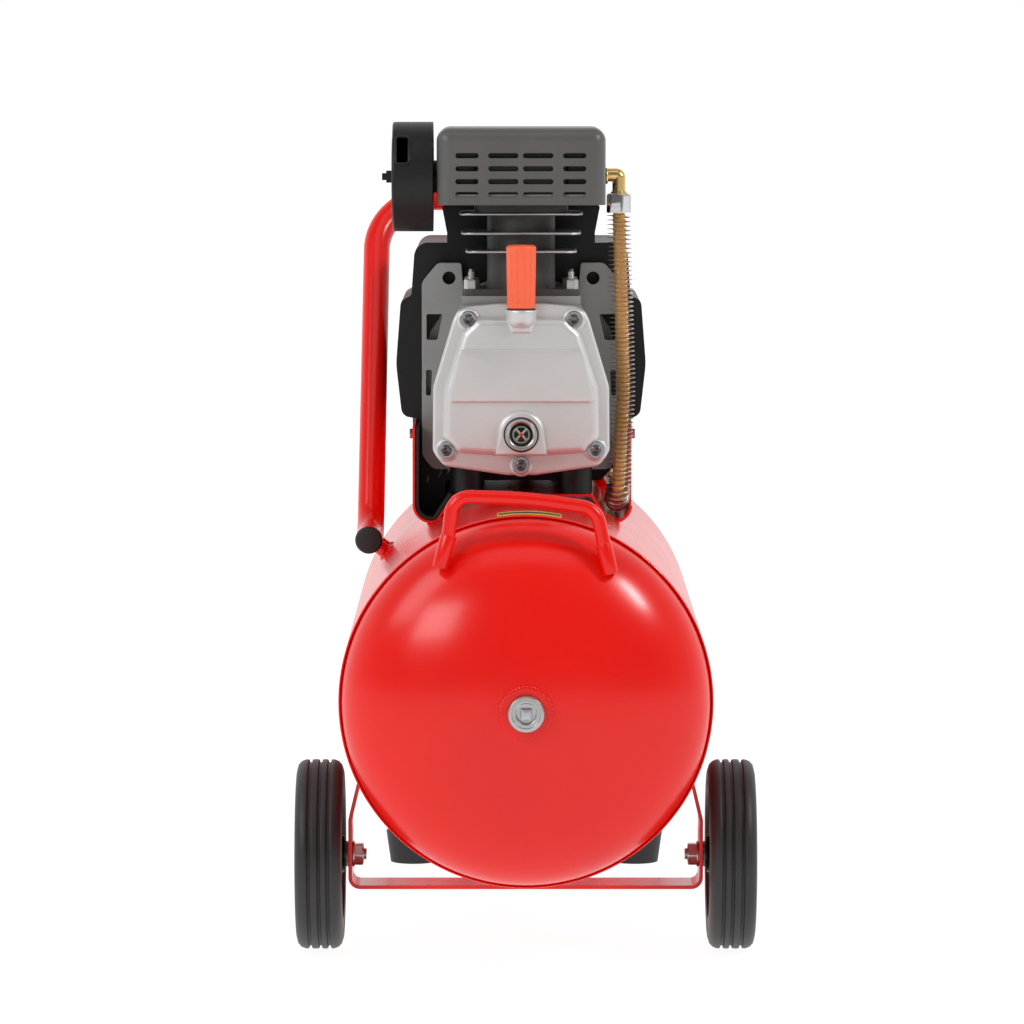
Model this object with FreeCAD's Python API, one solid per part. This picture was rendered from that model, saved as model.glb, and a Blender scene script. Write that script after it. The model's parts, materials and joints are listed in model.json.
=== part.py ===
import FreeCAD, Part
import math
import os

V = FreeCAD.Vector

# Driving dimensions, in millimetres. X right, Y away from the wheel end, Z up, floor at Z = 0.
TANK_R = 150.0
TANK_HALF = 300.0
TANK_Z = 214.0
TANK_WALL = 2.4
HEAD_DEPTH = 75.0
PUMP_X = -3.6
SHAFT_Z = 462.0
CYL_Y = -95.0
CYL_BASE_Z = 531.0
CYL_TOP_Z = 602.0
BORE_R = 23.5
CRANK_THROW = 20.0
ROD_LENGTH = 94.0
WHEEL_R = 77.5
WHEEL_Y = -200.0
FOOT_Y = 305.0
FOOT_X = 100.0
STATOR_R = 74.0
SHAFT_R = 8.5
RUN = 0.05
CREST_Z = TANK_Z + TANK_R
PLATFORM_Z = CREST_Z + 2.0
HANDLE_X = -132.5
HANDLE_R = 11.5
TUBE_X = 77.6
TUBE_MID_X = 81.4
TUBE_LOW_X = 76.8
SADDLE_X = -2.4
SCREW_Y = (-20.0, 130.0)
SIGHT_Z = 418.4
PANEL_Y = 240.0


# ---------- basic shapes ----------

def rod_x(r, x0, x1, y, z):
    return Part.makeCylinder(r, x1 - x0, V(x0, y, z), V(1, 0, 0))


def rod_y(r, y0, y1, x, z):
    return Part.makeCylinder(r, y1 - y0, V(x, y0, z), V(0, 1, 0))


def rod_z(r, z0, z1, x, y):
    return Part.makeCylinder(r, z1 - z0, V(x, y, z0), V(0, 0, 1))


def block(x0, x1, y0, y1, z0, z1):
    return Part.makeBox(x1 - x0, y1 - y0, z1 - z0, V(x0, y0, z0))


def join(shapes):
    result = shapes[0].fuse(list(shapes[1:]))
    return result.removeSplitter()


def group(shapes):
    return Part.makeCompound(shapes)


def hexagon(across_flats, height, base, axis):
    corner = across_flats / math.sqrt(3.0)
    points = []
    for k in range(7):
        turn = math.radians(60 * k + 30)
        points.append(V(corner * math.cos(turn), corner * math.sin(turn), 0))
    prism = Part.Face(Part.makePolygon(points)).extrude(V(0, 0, height))
    prism.Placement = FreeCAD.Placement(base, FreeCAD.Rotation(V(0, 0, 1), axis))
    return prism


def mirrored(shape, plane_x=0.0):
    return shape.mirror(V(plane_x, 0, 0), V(1, 0, 0))


def rounded_wire(points, radii, closed):
    """Straight segments joined by tangent arcs; radii is one value or one per corner."""
    count = len(points)
    corners = range(count) if closed else range(1, count - 1)
    starts = dict((i, points[i]) for i in range(count))
    ends = dict(starts)
    arcs = {}
    for i in corners:
        radius = radii[i] if isinstance(radii, (list, tuple)) else radii
        to_prev = (points[i - 1] - points[i]).normalize()
        to_next = (points[(i + 1) % count] - points[i]).normalize()
        half = to_prev.getAngle(to_next) / 2.0
        if radius <= 0 or abs(half - math.pi / 2) < 1e-4:
            continue
        reach = radius / math.tan(half)
        inward = (to_prev + to_next).normalize()
        centre = points[i] + inward * (radius / math.sin(half))
        starts[i] = points[i] + to_prev * reach
        ends[i] = points[i] + to_next * reach
        arcs[i] = Part.Arc(starts[i], centre - inward * radius, ends[i]).toShape()
    edges = []
    for i in range(count if closed else count - 1):
        j = (i + 1) % count
        if (starts[j] - ends[i]).Length > 1e-6:
            edges.append(Part.makeLine(ends[i], starts[j]))
        if j in arcs:
            edges.append(arcs[j])
    return Part.Wire(Part.__sortEdges__(edges))


def bent_rod(points, r, bend):
    """Round bar or tube core along a bent path."""
    path = rounded_wire([V(*p) for p in points], bend, False)
    along = V(*points[1]) - V(*points[0])
    ring = Part.Wire(Part.makeCircle(r, V(*points[0]), along))
    return path.makePipeShell([ring], True, False)


def strap(points_xz, bend, thick, y0, y1):
    """Flat strip bent in the XZ plane, running from y0 to y1."""
    points = [V(x, y0, z) for x, z in points_xz]
    path = rounded_wire(points, bend, False)
    along = (points[1] - points[0]).normalize()
    side = along.cross(V(0, 1, 0)) * (thick / 2.0)
    start = points[0]
    deep = V(0, y1 - y0, 0)
    section = Part.makePolygon([start + side, start - side, start - side + deep, start + side + deep,
                                start + side])
    return path.makePipeShell([section], True, False)


def outline_xz(points_xz, radius):
    return rounded_wire([V(x, 0, z) for x, z in points_xz], radius, True)


def plate_xz(wire, y0, y1):
    face = Part.Face(wire)
    face.translate(V(0, y0, 0))
    return face.extrude(V(0, y1 - y0, 0))


def inset(wire, amount):
    return wire.makeOffset2D(-amount)


def revolve_x(profile, y, z):
    """Profile of (x, radius) points turned about the X direction through y, z."""
    face = Part.Face(Part.makePolygon([V(x, r, 0) for x, r in profile + profile[:1]]))
    solid = face.revolve(V(0, 0, 0), V(1, 0, 0), 360)
    solid.translate(V(0, y, z))
    return solid


def soft_box(shape, radius, direction):
    """Round the edges of a box that run along one direction."""
    chosen = []
    for edge in shape.Edges:
        run = edge.Vertexes[1].Point - edge.Vertexes[0].Point
        if abs(run.normalize().dot(direction)) > 0.99:
            chosen.append(edge)
    return shape.makeFillet(radius, chosen)


def mirror_pair(points):
    """Close a half outline given for +x by adding its mirror image."""
    return points + [(-x, z) for x, z in reversed(points)]


def at_pump(points):
    return [(x + PUMP_X, z) for x, z in points]


# ---------- tank ----------

def tank_barrel():
    return rod_y(TANK_R, -TANK_HALF, TANK_HALF, 0, TANK_Z)


def head_profile(radius, depth, start):
    """Half ellipse from the rim to a hole of radius start at the crown."""
    end = math.acos(start / radius)
    return Part.ArcOfEllipse(Part.Ellipse(V(0, 0, 0), radius, depth), 0, end).toShape()


def dished_head(side):
    """Elliptical head with a short skirt that slips inside the shell, open at the crown."""
    out_r = TANK_R - TANK_WALL
    in_r = out_r - TANK_WALL
    hole = 9.0
    outer = head_profile(out_r, HEAD_DEPTH, hole)
    inner = head_profile(in_r, HEAD_DEPTH - TANK_WALL, hole)
    tips = [outer.valueAt(outer.LastParameter), inner.valueAt(inner.LastParameter)]
    edges = [outer, Part.makeLine(tips[0], tips[1]), inner, Part.makeLine(V(in_r, 0, 0), V(in_r, -14, 0)),
             Part.makeLine(V(in_r, -14, 0), V(out_r, -14, 0)), Part.makeLine(V(out_r, -14, 0), V(out_r, 0, 0))]
    head = Part.Face(Part.Wire(Part.__sortEdges__(edges))).revolve(V(0, 0, 0), V(0, 1, 0), 360)
    if side < 0:
        head.rotate(V(0, 0, 0), V(0, 0, 1), 180)
    head.translate(V(0, side * TANK_HALF, TANK_Z))
    return head


def head_solid(radius, depth, side):
    arc = Part.ArcOfEllipse(Part.Ellipse(V(0, 0, 0), radius, depth), 0, math.pi / 2).toShape()
    edges = [Part.makeLine(V(0, 0, 0), V(radius, 0, 0)), arc, Part.makeLine(V(0, depth, 0), V(0, 0, 0))]
    dome = Part.Face(Part.Wire(edges)).revolve(V(0, 0, 0), V(0, 1, 0), 360)
    if side < 0:
        dome.rotate(V(0, 0, 0), V(0, 0, 1), 180)
    dome.translate(V(0, side * TANK_HALF, TANK_Z))
    return dome


def port_bores():
    return [rod_y(9, -392, 392, 0, TANK_Z), rod_z(8, CREST_Z - 20, CREST_Z + 20, 0, PANEL_Y),
            rod_z(7, 330, 370, 74, 212), rod_z(6, 50, 90, 0, 150)]


def tank_shell():
    tube = rod_y(TANK_R, -TANK_HALF, TANK_HALF, 0, TANK_Z)
    return tube.cut([rod_y(TANK_R - TANK_WALL, -TANK_HALF, TANK_HALF, 0, TANK_Z)] + port_bores())


def tank_heads():
    return group([dished_head(-1), dished_head(1)])


def tank_weldments():
    """Threaded bosses and the two handle tabs welded to the tank."""
    pieces = []
    for side in (-1, 1):
        low, high = sorted((side * 374.87, side * 381.0))
        pieces.append(rod_y(20, low, high, 0, TANK_Z))
    pieces.append(rod_z(17, CREST_Z - 8, CREST_Z + 8, 0, PANEL_Y))
    pieces.append(rod_z(14, 338, 356, 74, 212))
    pieces.append(rod_z(13, 56, 72, 0, 150))
    outward = V(HANDLE_X, 0, 318.7 - TANK_Z).normalize()
    for y in (2.0, 34.0):
        start = V(0, y, TANK_Z) + outward * (TANK_R - 8)
        pieces.append(Part.makeCylinder(6, 22, start, outward))
    tube = rod_y(HANDLE_R, -40, 60, HANDLE_X, 318.7)
    cutters = [tank_barrel(), tube] + port_bores()
    return group([p.cut(cutters) for p in pieces])


def end_plugs():
    plugs = []
    for side in (-1, 1):
        low, high = sorted((side * 381.0, side * 388.0))
        stem = sorted((side * 368.0, side * 381.0))
        recess = sorted((side * 378.0, side * 388.0))
        plug = join([rod_y(14.6, low, high, 0, TANK_Z), rod_y(9, stem[0], stem[1], 0, TANK_Z)])
        plugs.append(plug.cut(rod_y(7.7, recess[0], recess[1], 0, TANK_Z)))
    return group(plugs)


def bail_handle():
    y = -341.0
    path = [(-67, y, 327), (-58.8, y, 381.5), (55.5, y, 372), (66.2, y, 321.5)]
    bar = bent_rod(path, 5.4, 13)
    feet = []
    for x, z in ((-67, 327), (66.2, 321.5)):
        feet.append(rod_y(5.4, y, -322, x, z))
        feet.append(block(x - 5, x + 5, y - 2, -310, z, z + 20))
        feet.append(rod_z(5.4, z - 3, z, x, y))
    shape = join([bar] + feet).cut(head_solid(TANK_R - TANK_WALL, HEAD_DEPTH, -1))
    return max(shape.Solids, key=lambda s: s.Volume)


# ---------- wheels and feet ----------

def wheel_bracket():
    half = [(133.0, 150.0), (143.0, 108.0), (143.0, 53.0)]
    path = half + [(-x, z) for x, z in reversed(half)]
    shape = strap(path, [0, 8, 8, 8, 8, 0], 3.0, WHEEL_Y - 22, WHEEL_Y + 23)
    holes = rod_x(5.2, -160, 160, WHEEL_Y, WHEEL_R)
    shape = shape.cut([tank_barrel(), holes])
    return max(shape.Solids, key=lambda s: s.Volume)


def wheel_axles():
    y, z = WHEEL_Y, WHEEL_R
    bolt = join([rod_x(5, 130, 182.5, y, z), hexagon(17, 6.5, V(182.5, y, z), V(1, 0, 0))])
    nut = hexagon(17, 9, V(132.3, y, z), V(1, 0, 0)).cut(rod_x(5, 120, 150, y, z))
    washer = rod_x(10, 144.5, 147.4, y, z).cut(rod_x(5, 140, 150, y, z))
    right = [bolt, nut, washer]
    return group(right + [mirrored(p) for p in right])


def tyre():
    profile = [(148.5, 52), (148.5, 68), (150.5, 73.5), (155, 77), (158, 77.5), (177.5, 77.5), (180.5, 77),
               (185, 73.5), (187, 68), (187, 52)]
    ring = revolve_x(profile, WHEEL_Y, WHEEL_R)
    grooves = []
    for x in (160.0, 167.75, 175.5):
        grooves.append(rod_x(90, x - 1.5, x + 1.5, WHEEL_Y, WHEEL_R).cut(
            rod_x(74.8, x - 1.5, x + 1.5, WHEEL_Y, WHEEL_R)))
    return ring.cut(grooves)


def hub():
    profile = [(147.8, 5.05), (182.2, 5.05), (182.2, 15), (170, 17), (167, 44), (184, 46), (184, 52),
               (151.5, 52), (151.5, 46), (161, 44), (160, 17), (147.8, 15)]
    return revolve_x(profile, WHEEL_Y, WHEEL_R)


def rear_foot_bracket():
    path = [(-122, 140), (-122, 29.5), (122, 29.5), (122, 140)]
    shape = strap(path, 10, 3.0, FOOT_Y - 20, FOOT_Y + 10)
    holes = [rod_z(4.2, 20, 40, x, FOOT_Y - 5) for x in (-FOOT_X, FOOT_X)]
    shape = shape.cut([rod_y(TANK_R, 280, 320, 0, TANK_Z)] + holes)
    return max(shape.Solids, key=lambda s: s.Volume)


def rubber_feet():
    feet = []
    for x in (-FOOT_X, FOOT_X):
        cone = Part.makeCone(21.0, 25.0, 28, V(x, FOOT_Y - 5, 0), V(0, 0, 1))
        feet.append(cone.cut([rod_z(9, 0, 12, x, FOOT_Y - 5), rod_z(4, 0, 30, x, FOOT_Y - 5)]))
    return group(feet)


def foot_bolts():
    parts = []
    for x in (-FOOT_X, FOOT_X):
        y = FOOT_Y - 5
        parts.append(join([rod_z(4, 12, 40, x, y), hexagon(13, 5.3, V(x, y, 6.7), V(0, 0, 1))]))
        parts.append(hexagon(13, 6.5, V(x, y, 31), V(0, 0, 1)).cut(rod_z(4, 28, 40, x, y)))
    return group(parts)


# ---------- saddle ----------

def saddle():
    """Bent sheet with a flat deck and a trough on each side; the troughs rest on the tank."""
    half = [(90.2, 422.0), (90.2, 342.8), (71.5, 342.8), (57.0, PLATFORM_Z - 1)]
    path = [(SADDLE_X - x, z) for x, z in half] + [(SADDLE_X + x, z) for x, z in reversed(half)]
    radii = [0, 14.5, 6, 4, 4, 6, 14.5, 0]
    sheet = strap(path, radii, 2.0, -115, 168)
    holes = [rod_z(4.2, 355, 375, PUMP_X + x, y) for x in (-45, 45) for y in (-100, 122)]
    holes += [rod_x(2.2, SADDLE_X - 95, SADDLE_X + 95, y, 410) for y in SCREW_Y]
    webs = []
    for x in (-76, 76):
        for y in (-112, 156):
            webs.append(block(SADDLE_X + x - 3, SADDLE_X + x + 3, y, y + 8, 325, 343))
    notch = block(SADDLE_X + 85, SADDLE_X + 95, -116, -72, 356, 425)
    return join([sheet] + webs).cut([tank_barrel(), notch] + holes)


def shroud_screws():
    """Screws that hold the motor shroud between the saddle walls."""
    screws = []
    for side in (-1, 1):
        for y in SCREW_Y:
            shank = sorted((SADDLE_X + side * 84.5, SADDLE_X + side * 91.2))
            x = SADDLE_X + side * 91.2
            head = hexagon(8, 4, V(x, y, 410), V(side, 0, 0))
            screws.append(join([rod_x(2.0, shank[0], shank[1], y, 410), head]))
    return group(screws)


def rubber_dampers():
    parts = []
    for x in (-45, 45):
        for y in (-100, 122):
            top = 388.6 if y < 0 else 380
            ring = rod_z(14, PLATFORM_Z, top, PUMP_X + x, y)
            parts.append(ring.cut(rod_z(4, 360, 400, PUMP_X + x, y)))
    return group(parts)


# ---------- pump ----------

def cover_outline():
    half = [(12, 384), (64, 391.5), (72.8, 404), (72.4, 457), (56, 512), (49, 524)]
    return outline_xz(at_pump([(-x, z) for x, z in reversed(half)] + half), 6)


CYLINDER_STUDS = ((-41, -122), (41, -122), (-41, -68), (41, -68))
COVER_BOLTS = ((-43.4, 512.2), (43.4, 512.2), (-61.5, 404.8), (61.5, 404.8), (0, 392.5))


def crankcase():
    outline = cover_outline()
    body = plate_xz(inset(outline, 2.5), -131, -60)
    flange = plate_xz(outline, -138, -131)
    half = [(74, 382.7), (83, 394.5), (83, 539.3), (69.6, 555.6), (50, 555.6), (48, 531)]
    ears = outline_xz(at_pump(half + [(-x, z) for x, z in reversed(half)]), [9, 9, 9, 7, 2, 0, 0, 2, 7, 9, 9, 9])
    back = plate_xz(ears, -60, -45)
    deck = block(PUMP_X - 49, PUMP_X + 49, -131, -59, 518, CYL_BASE_Z)
    spigot = rod_y(83, -45, 5, PUMP_X, SHAFT_Z).cut(rod_y(72, -45, 6, PUMP_X, SHAFT_Z))
    feet = []
    for x in (-45, 45):
        feet.append(block(PUMP_X + x - 14, PUMP_X + x + 14, -114, -86, 388.6, 400))
    cavity = plate_xz(inset(outline, 8), -139, -62)
    cavity = cavity.cut(block(-100, 100, -140, -60, 522, 560))
    bosses = []
    for x, z in COVER_BOLTS:
        bosses.append(rod_y(6.5, -138, -112, PUMP_X + x, z))
    solid = join([body, flange, back, deck, spigot] + feet).cut(cavity)
    solid = join([solid] + bosses)
    cuts = [rod_y(2.5, -140, -118, PUMP_X + x, z) for x, z in COVER_BOLTS]
    cuts.append(rod_z(29, 515, 535, PUMP_X, CYL_Y))
    cuts.append(rod_y(20, -59, -44, PUMP_X, SHAFT_Z))
    cuts.append(rod_y(12, -63, -58, PUMP_X, SHAFT_Z))
    for side in (-1, 1):
        cuts.append(rod_y(5.4, -62, -40, PUMP_X + side * 60.2, 543.1))
        window = [(65.5, 512.8), (79, 512.8), (79, 491.3), (70, 491.3)]
        slot = [(74.5, 466), (79.5, 466), (79.5, 444.6), (75.5, 444.6)]
        for shape in (window, slot):
            cuts.append(plate_xz(outline_xz(at_pump([(side * x, z) for x, z in shape]), 1.5), -62, -40))
        cuts.append(rod_z(4, 386, 396, PUMP_X + side * 45, -100))
    for x, y in CYLINDER_STUDS:
        cuts.append(rod_z(3, 519, 535, PUMP_X + x, y))
    return solid.cut(cuts)


def crankcase_cover():
    outline = cover_outline()
    flange = plate_xz(outline, -145, -138)
    dome = plate_xz(inset(outline, 10), -154, -144)
    panel = outline_xz(at_pump([(-59, 445), (59, 445), (50, 488), (-50, 488)]), 3)
    raised = plate_xz(panel, -157, -153)
    arch = join([rod_y(19.0, -159, -150, PUMP_X, SIGHT_Z),
                 block(PUMP_X - 19.0, PUMP_X + 19.0, -159, -150, 401, SIGHT_Z)])
    neck = join([rod_z(12.4, 506, 520.5, PUMP_X, -151),
                 Part.makeCone(4, 12.4, 18, V(PUMP_X, -151, 488), V(0, 0, 1))])
    pads = [rod_y(8, -147, -140, PUMP_X + x, z) for x, z in COVER_BOLTS]
    shape = join([flange, dome, raised, arch, neck] + pads)
    cavity = plate_xz(inset(outline, 15), -149.5, -137)
    cuts = [cavity, rod_z(8.05, 502.8, 525, PUMP_X, -151), rod_y(5, -151, -140, PUMP_X, 508),
            rod_y(8.6, -162, -140, PUMP_X, SIGHT_Z)]
    cuts += [rod_y(3.0, -165, -130, PUMP_X + x, z) for x, z in COVER_BOLTS]
    cuts += [rod_y(7.2, -165, -147, PUMP_X + x, z) for x, z in COVER_BOLTS]
    cuts.append(rod_z(12.9, 520.5, 530, PUMP_X, -151))
    return shape.cut(cuts)


def cover_bolts():
    bolts = []
    for x, z in COVER_BOLTS:
        shank = rod_y(2.5, -148, -120, PUMP_X + x, z)
        washer = rod_y(7.0, -148.5, -147, PUMP_X + x, z)
        cap = rod_y(4.8, -153.5, -148.5, PUMP_X + x, z)
        socket = hexagon(5, 4, V(PUMP_X + x, -154, z), V(0, 1, 0))
        bolts.append(join([shank, washer, cap]).cut(socket))
    return group(bolts)


def sight_glass():
    ring = rod_y(14.0, -162, -159, PUMP_X, SIGHT_Z).cut(rod_y(9.5, -163, -159.2, PUMP_X, SIGHT_Z))
    body = rod_y(8.6, -160, -146, PUMP_X, SIGHT_Z)
    return join([ring, body])


def oil_plug():
    head = Part.makeCone(11.6, 12.4, 52, V(PUMP_X, -151, 521.8), V(0, 0, 1))
    flutes = []
    for k in range(12):
        turn = math.radians(30 * k)
        flutes.append(rod_z(1.6, 526, 570, PUMP_X + 12.9 * math.cos(turn), -151 + 12.9 * math.sin(turn)))
    return join([head.cut(flutes), rod_z(8.0, 503, 523, PUMP_X, -151)])


def cylinder():
    flange = block(PUMP_X - 47.5, PUMP_X + 47.5, -130, -60, CYL_BASE_Z, 536.6)
    flange = soft_box(flange, 8, V(0, 0, 1))
    barrel = rod_z(28.2, 524, CYL_TOP_Z, PUMP_X, CYL_Y)
    plates = []
    for half, z in ((50, 598.4), (48.5, 582.4), (45, 567.3)):
        fin = block(PUMP_X - half, PUMP_X + half, CYL_Y - 36, CYL_Y + 36, z - 1.3, z + 1.3)
        plates.append(soft_box(fin, 10, V(0, 0, 1)))
    top = block(PUMP_X - 38, PUMP_X + 38, CYL_Y - 34, CYL_Y + 34, 599, CYL_TOP_Z)
    shape = join([flange, barrel, soft_box(top, 8, V(0, 0, 1))] + plates)
    cuts = [rod_z(BORE_R, 520, 610, PUMP_X, CYL_Y)]
    for x, y in CYLINDER_STUDS:
        cuts.append(rod_z(3.0, 525, 540, PUMP_X + x, y))
    return shape.cut(cuts)


def cylinder_nuts():
    parts = []
    for x, y in CYLINDER_STUDS:
        stud = rod_z(3.0, 522, 551, PUMP_X + x, y)
        nut = hexagon(11, 8, V(PUMP_X + x, y, 536.6), V(0, 0, 1))
        parts.append(join([stud, nut]))
    return group(parts)


def valve_plate():
    plate = block(PUMP_X - 38.6, PUMP_X + 38.6, CYL_Y - 36, CYL_Y + 36, CYL_TOP_Z, 606.5)
    plate = soft_box(plate, 8, V(0, 0, 1))
    ports = [rod_z(6, 600, 610, PUMP_X + x, CYL_Y) for x in (-13, 13)]
    return plate.cut(ports)


def cylinder_head():
    base = block(PUMP_X - 40, PUMP_X + 40, CYL_Y - 38, CYL_Y + 38, 606.5, 640)
    base = soft_box(base, 8, V(0, 0, 1))
    fins = []
    for k in range(9):
        y = CYL_Y - 34 + 8 * k
        fins.append(block(PUMP_X - 56, PUMP_X + 56, y, y + 2.5, 619, 660))
    shape = join([base] + fins)
    cuts = [block(PUMP_X - 34, PUMP_X - 3, CYL_Y - 30, CYL_Y + 30, 606, 634),
            block(PUMP_X + 3, PUMP_X + 34, CYL_Y - 30, CYL_Y + 30, 606, 634),
            rod_x(7, PUMP_X + 30, PUMP_X + 42, -90, 629), rod_x(10, PUMP_X - 42, PUMP_X - 30, -90, 628.4),
            rod_x(12, PUMP_X + 40, PUMP_X + 60, -90, 629), rod_x(14.5, PUMP_X - 60, PUMP_X - 40, -90, 628.4)]
    return shape.cut(cuts)


def domed_box(half, y0, y1, z0, z1, radius):
    """Box rounded along its top and along its front upright edges."""
    shape = block(PUMP_X - half, PUMP_X + half, y0, y1, z0, z1)
    rounded = []
    for edge in shape.Edges:
        mid = edge.CenterOfMass
        upright = abs(abs(mid.x - PUMP_X) - half) < 0.01 and mid.y < y0 + 0.01
        if mid.z > z1 - 0.01 and mid.y < y1 - 0.01 or upright:
            rounded.append(edge)
    return shape.makeFillet(radius, rounded)


def head_shroud():
    outer = domed_box(69.6, -140, -42, 606, 669.5, 11)
    inner = domed_box(67.1, -137.5, -30, 600, 667, 8.5)
    shape = outer.cut(inner)
    cuts = [rod_x(11, PUMP_X + 60, PUMP_X + 75, -90, 629), rod_x(14, PUMP_X - 75, PUMP_X - 60, -90, 628.4)]
    for z in (614.8, 625.4, 636.0, 646.7):
        for low, high in ((-54, -35), (-27, -2.3), (1.6, 26.4), (34.5, 53.4)):
            slot = block(PUMP_X + low, PUMP_X + high, -145, -130, z - 2.1, z + 2.1)
            cuts.append(soft_box(slot, 2.0, V(0, 1, 0)))
    return shape.cut(cuts)


def piston():
    z_pin = SHAFT_Z + CRANK_THROW + ROD_LENGTH
    body = rod_z(BORE_R - RUN, z_pin - 18, z_pin + 25, PUMP_X, CYL_Y)
    hollow = rod_z(19.4, z_pin - 20, z_pin + 20, PUMP_X, CYL_Y)
    grooves = []
    for z in (z_pin + 21, z_pin + 15, z_pin + 10):
        grooves.append(rod_z(30, z - 0.8, z + 0.8, PUMP_X, CYL_Y).cut(rod_z(22.4, z - 2, z + 2, PUMP_X, CYL_Y)))
    bosses = join([rod_x(8, PUMP_X - 21, PUMP_X - 9, CYL_Y, z_pin), rod_x(8, PUMP_X + 9, PUMP_X + 21, CYL_Y, z_pin)])
    shape = join([body.cut(hollow), bosses])
    return shape.cut(grooves + [rod_x(5, PUMP_X - 30, PUMP_X + 30, CYL_Y, z_pin)])


def wrist_pin():
    z_pin = SHAFT_Z + CRANK_THROW + ROD_LENGTH
    return rod_x(5, PUMP_X - 22, PUMP_X + 22, CYL_Y, z_pin).cut(rod_x(2.5, PUMP_X - 23, PUMP_X + 23, CYL_Y, z_pin))


def connecting_rod():
    z_big = SHAFT_Z + CRANK_THROW
    z_pin = z_big + ROD_LENGTH
    big = rod_y(15, CYL_Y - 7, CYL_Y + 7, PUMP_X, z_big)
    small = rod_x(8.5, PUMP_X - 7, PUMP_X + 7, CYL_Y, z_pin)
    beam = block(PUMP_X - 5.5, PUMP_X + 5.5, CYL_Y - 4, CYL_Y + 4, z_big + 10, z_pin - 6)
    dipper = rod_z(2.5, z_big - 60, z_big - 14, PUMP_X, CYL_Y)
    shape = join([big, small, beam, dipper])
    return shape.cut([rod_y(8, -120, -80, PUMP_X, z_big), rod_x(5, PUMP_X - 10, PUMP_X + 10, CYL_Y, z_pin)])


def crank():
    web = [(-14, SHAFT_Z + 24), (14, SHAFT_Z + 24), (20, SHAFT_Z), (38, SHAFT_Z - 14), (30, SHAFT_Z - 38),
           (-30, SHAFT_Z - 38), (-38, SHAFT_Z - 14), (-20, SHAFT_Z)]
    plate = plate_xz(outline_xz(at_pump(web), 4), -87, -69)
    pin = rod_y(8, -103, -86, PUMP_X, SHAFT_Z + CRANK_THROW)
    collar = rod_y(14, -70, -63, PUMP_X, SHAFT_Z)
    return join([plate, pin, collar]).cut(rod_y(SHAFT_R + RUN, -84, -60, PUMP_X, SHAFT_Z))


# ---------- motor ----------

def bearings():
    parts = []
    for y in (-58, 118):
        ring = rod_y(20, y, y + 12, PUMP_X, SHAFT_Z)
        cuts = [rod_y(SHAFT_R + RUN, y - 1, y + 13, PUMP_X, SHAFT_Z)]
        for face in (y - 1, y + 11.2):
            cuts.append(rod_y(17, face, face + 1.8, PUMP_X, SHAFT_Z).cut(rod_y(12, face, face + 1.8, PUMP_X, SHAFT_Z)))
        parts.append(ring.cut(cuts))
    return group(parts)


def stator():
    ring = rod_y(STATOR_R, 5, 85, PUMP_X, SHAFT_Z).cut(rod_y(41, 0, 90, PUMP_X, SHAFT_Z))
    slots = []
    for k in range(24):
        slot = block(40, 58, 0, 90, -2, 2)
        slot.rotate(V(0, 0, 0), V(0, 1, 0), 15 * k)
        slot.translate(V(PUMP_X, 0, SHAFT_Z))
        slots.append(slot)
    return ring.cut(slots)


def windings():
    rings = []
    for y0, y1 in ((-20, 5), (85, 108)):
        coil = rod_y(68, y0, y1, PUMP_X, SHAFT_Z).cut(rod_y(46, y0 - 1, y1 + 1, PUMP_X, SHAFT_Z))
        edges = [e for e in coil.Edges if e.Curve.TypeId == "Part::GeomCircle"]
        rings.append(coil.makeFillet(5, edges))
    return group(rings)


def rotor():
    core = rod_y(40.4, 5, 85, PUMP_X, SHAFT_Z)
    rings = [rod_y(38, -2, 5, PUMP_X, SHAFT_Z), rod_y(38, 85, 92, PUMP_X, SHAFT_Z)]
    return join([core] + rings).cut(rod_y(SHAFT_R, -10, 100, PUMP_X, SHAFT_Z))


def motor_shaft():
    return rod_y(SHAFT_R, -83, 164, PUMP_X, SHAFT_Z)


def fan():
    hub_part = rod_y(20, 136, 160, PUMP_X, SHAFT_Z)
    disc = rod_y(72, 136, 138.5, PUMP_X, SHAFT_Z)
    blades = []
    for k in range(9):
        blade = block(18, 70, 136, 160, -1.2, 1.2)
        blade.rotate(V(0, 0, 0), V(0, 1, 0), 40 * k)
        blade.translate(V(PUMP_X, 0, SHAFT_Z))
        blades.append(blade)
    return join([hub_part, disc] + blades).cut(rod_y(SHAFT_R, 130, 170, PUMP_X, SHAFT_Z))


def end_bell():
    ring = rod_y(83, 85, 130, PUMP_X, SHAFT_Z).cut(rod_y(72, 84, 112, PUMP_X, SHAFT_Z))
    feet = [block(PUMP_X + x - 15, PUMP_X + x + 15, 114, 130, 380, 410) for x in (-45, 45)]
    cuts = [rod_y(20, 117, 131, PUMP_X, SHAFT_Z), rod_y(12, 111, 120, PUMP_X, SHAFT_Z)]
    for k in range(8):
        turn = math.radians(45 * k + 22.5)
        cuts.append(rod_y(12, 110, 132, PUMP_X + 48 * math.cos(turn), SHAFT_Z + 48 * math.sin(turn)))
    cuts += [rod_z(4, 376, 392, PUMP_X + x, 122) for x in (-45, 45)]
    return join([ring] + feet).cut(cuts)


def capacitor():
    z = SHAFT_Z + STATOR_R + 15
    return join([rod_y(15, 12, 78, PUMP_X, z), rod_y(4, 78, 81, PUMP_X - 6, z), rod_y(4, 78, 81, PUMP_X + 6, z)])


def shroud_outline():
    """Wide cheeks, a flat floor over the saddle and a lobe that hangs in its left trough."""
    points = [(-89, 572), (-92, 528), (-101, 523), (-105, 470), (-100, 426), (-85.5, 424), (-84.5, 347), (-71, 347),
              (-63.5, 358), (-63.5, 372), (67, 372), (86, 392), (87, 424), (100, 426), (105, 470), (101, 523),
              (92, 528), (89, 572)]
    radii = [12, 3, 7, 60, 8, 3, 10, 3, 3, 3, 6, 8, 3, 8, 60, 7, 3, 12]
    return outline_xz(at_pump(points), radii)


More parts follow.
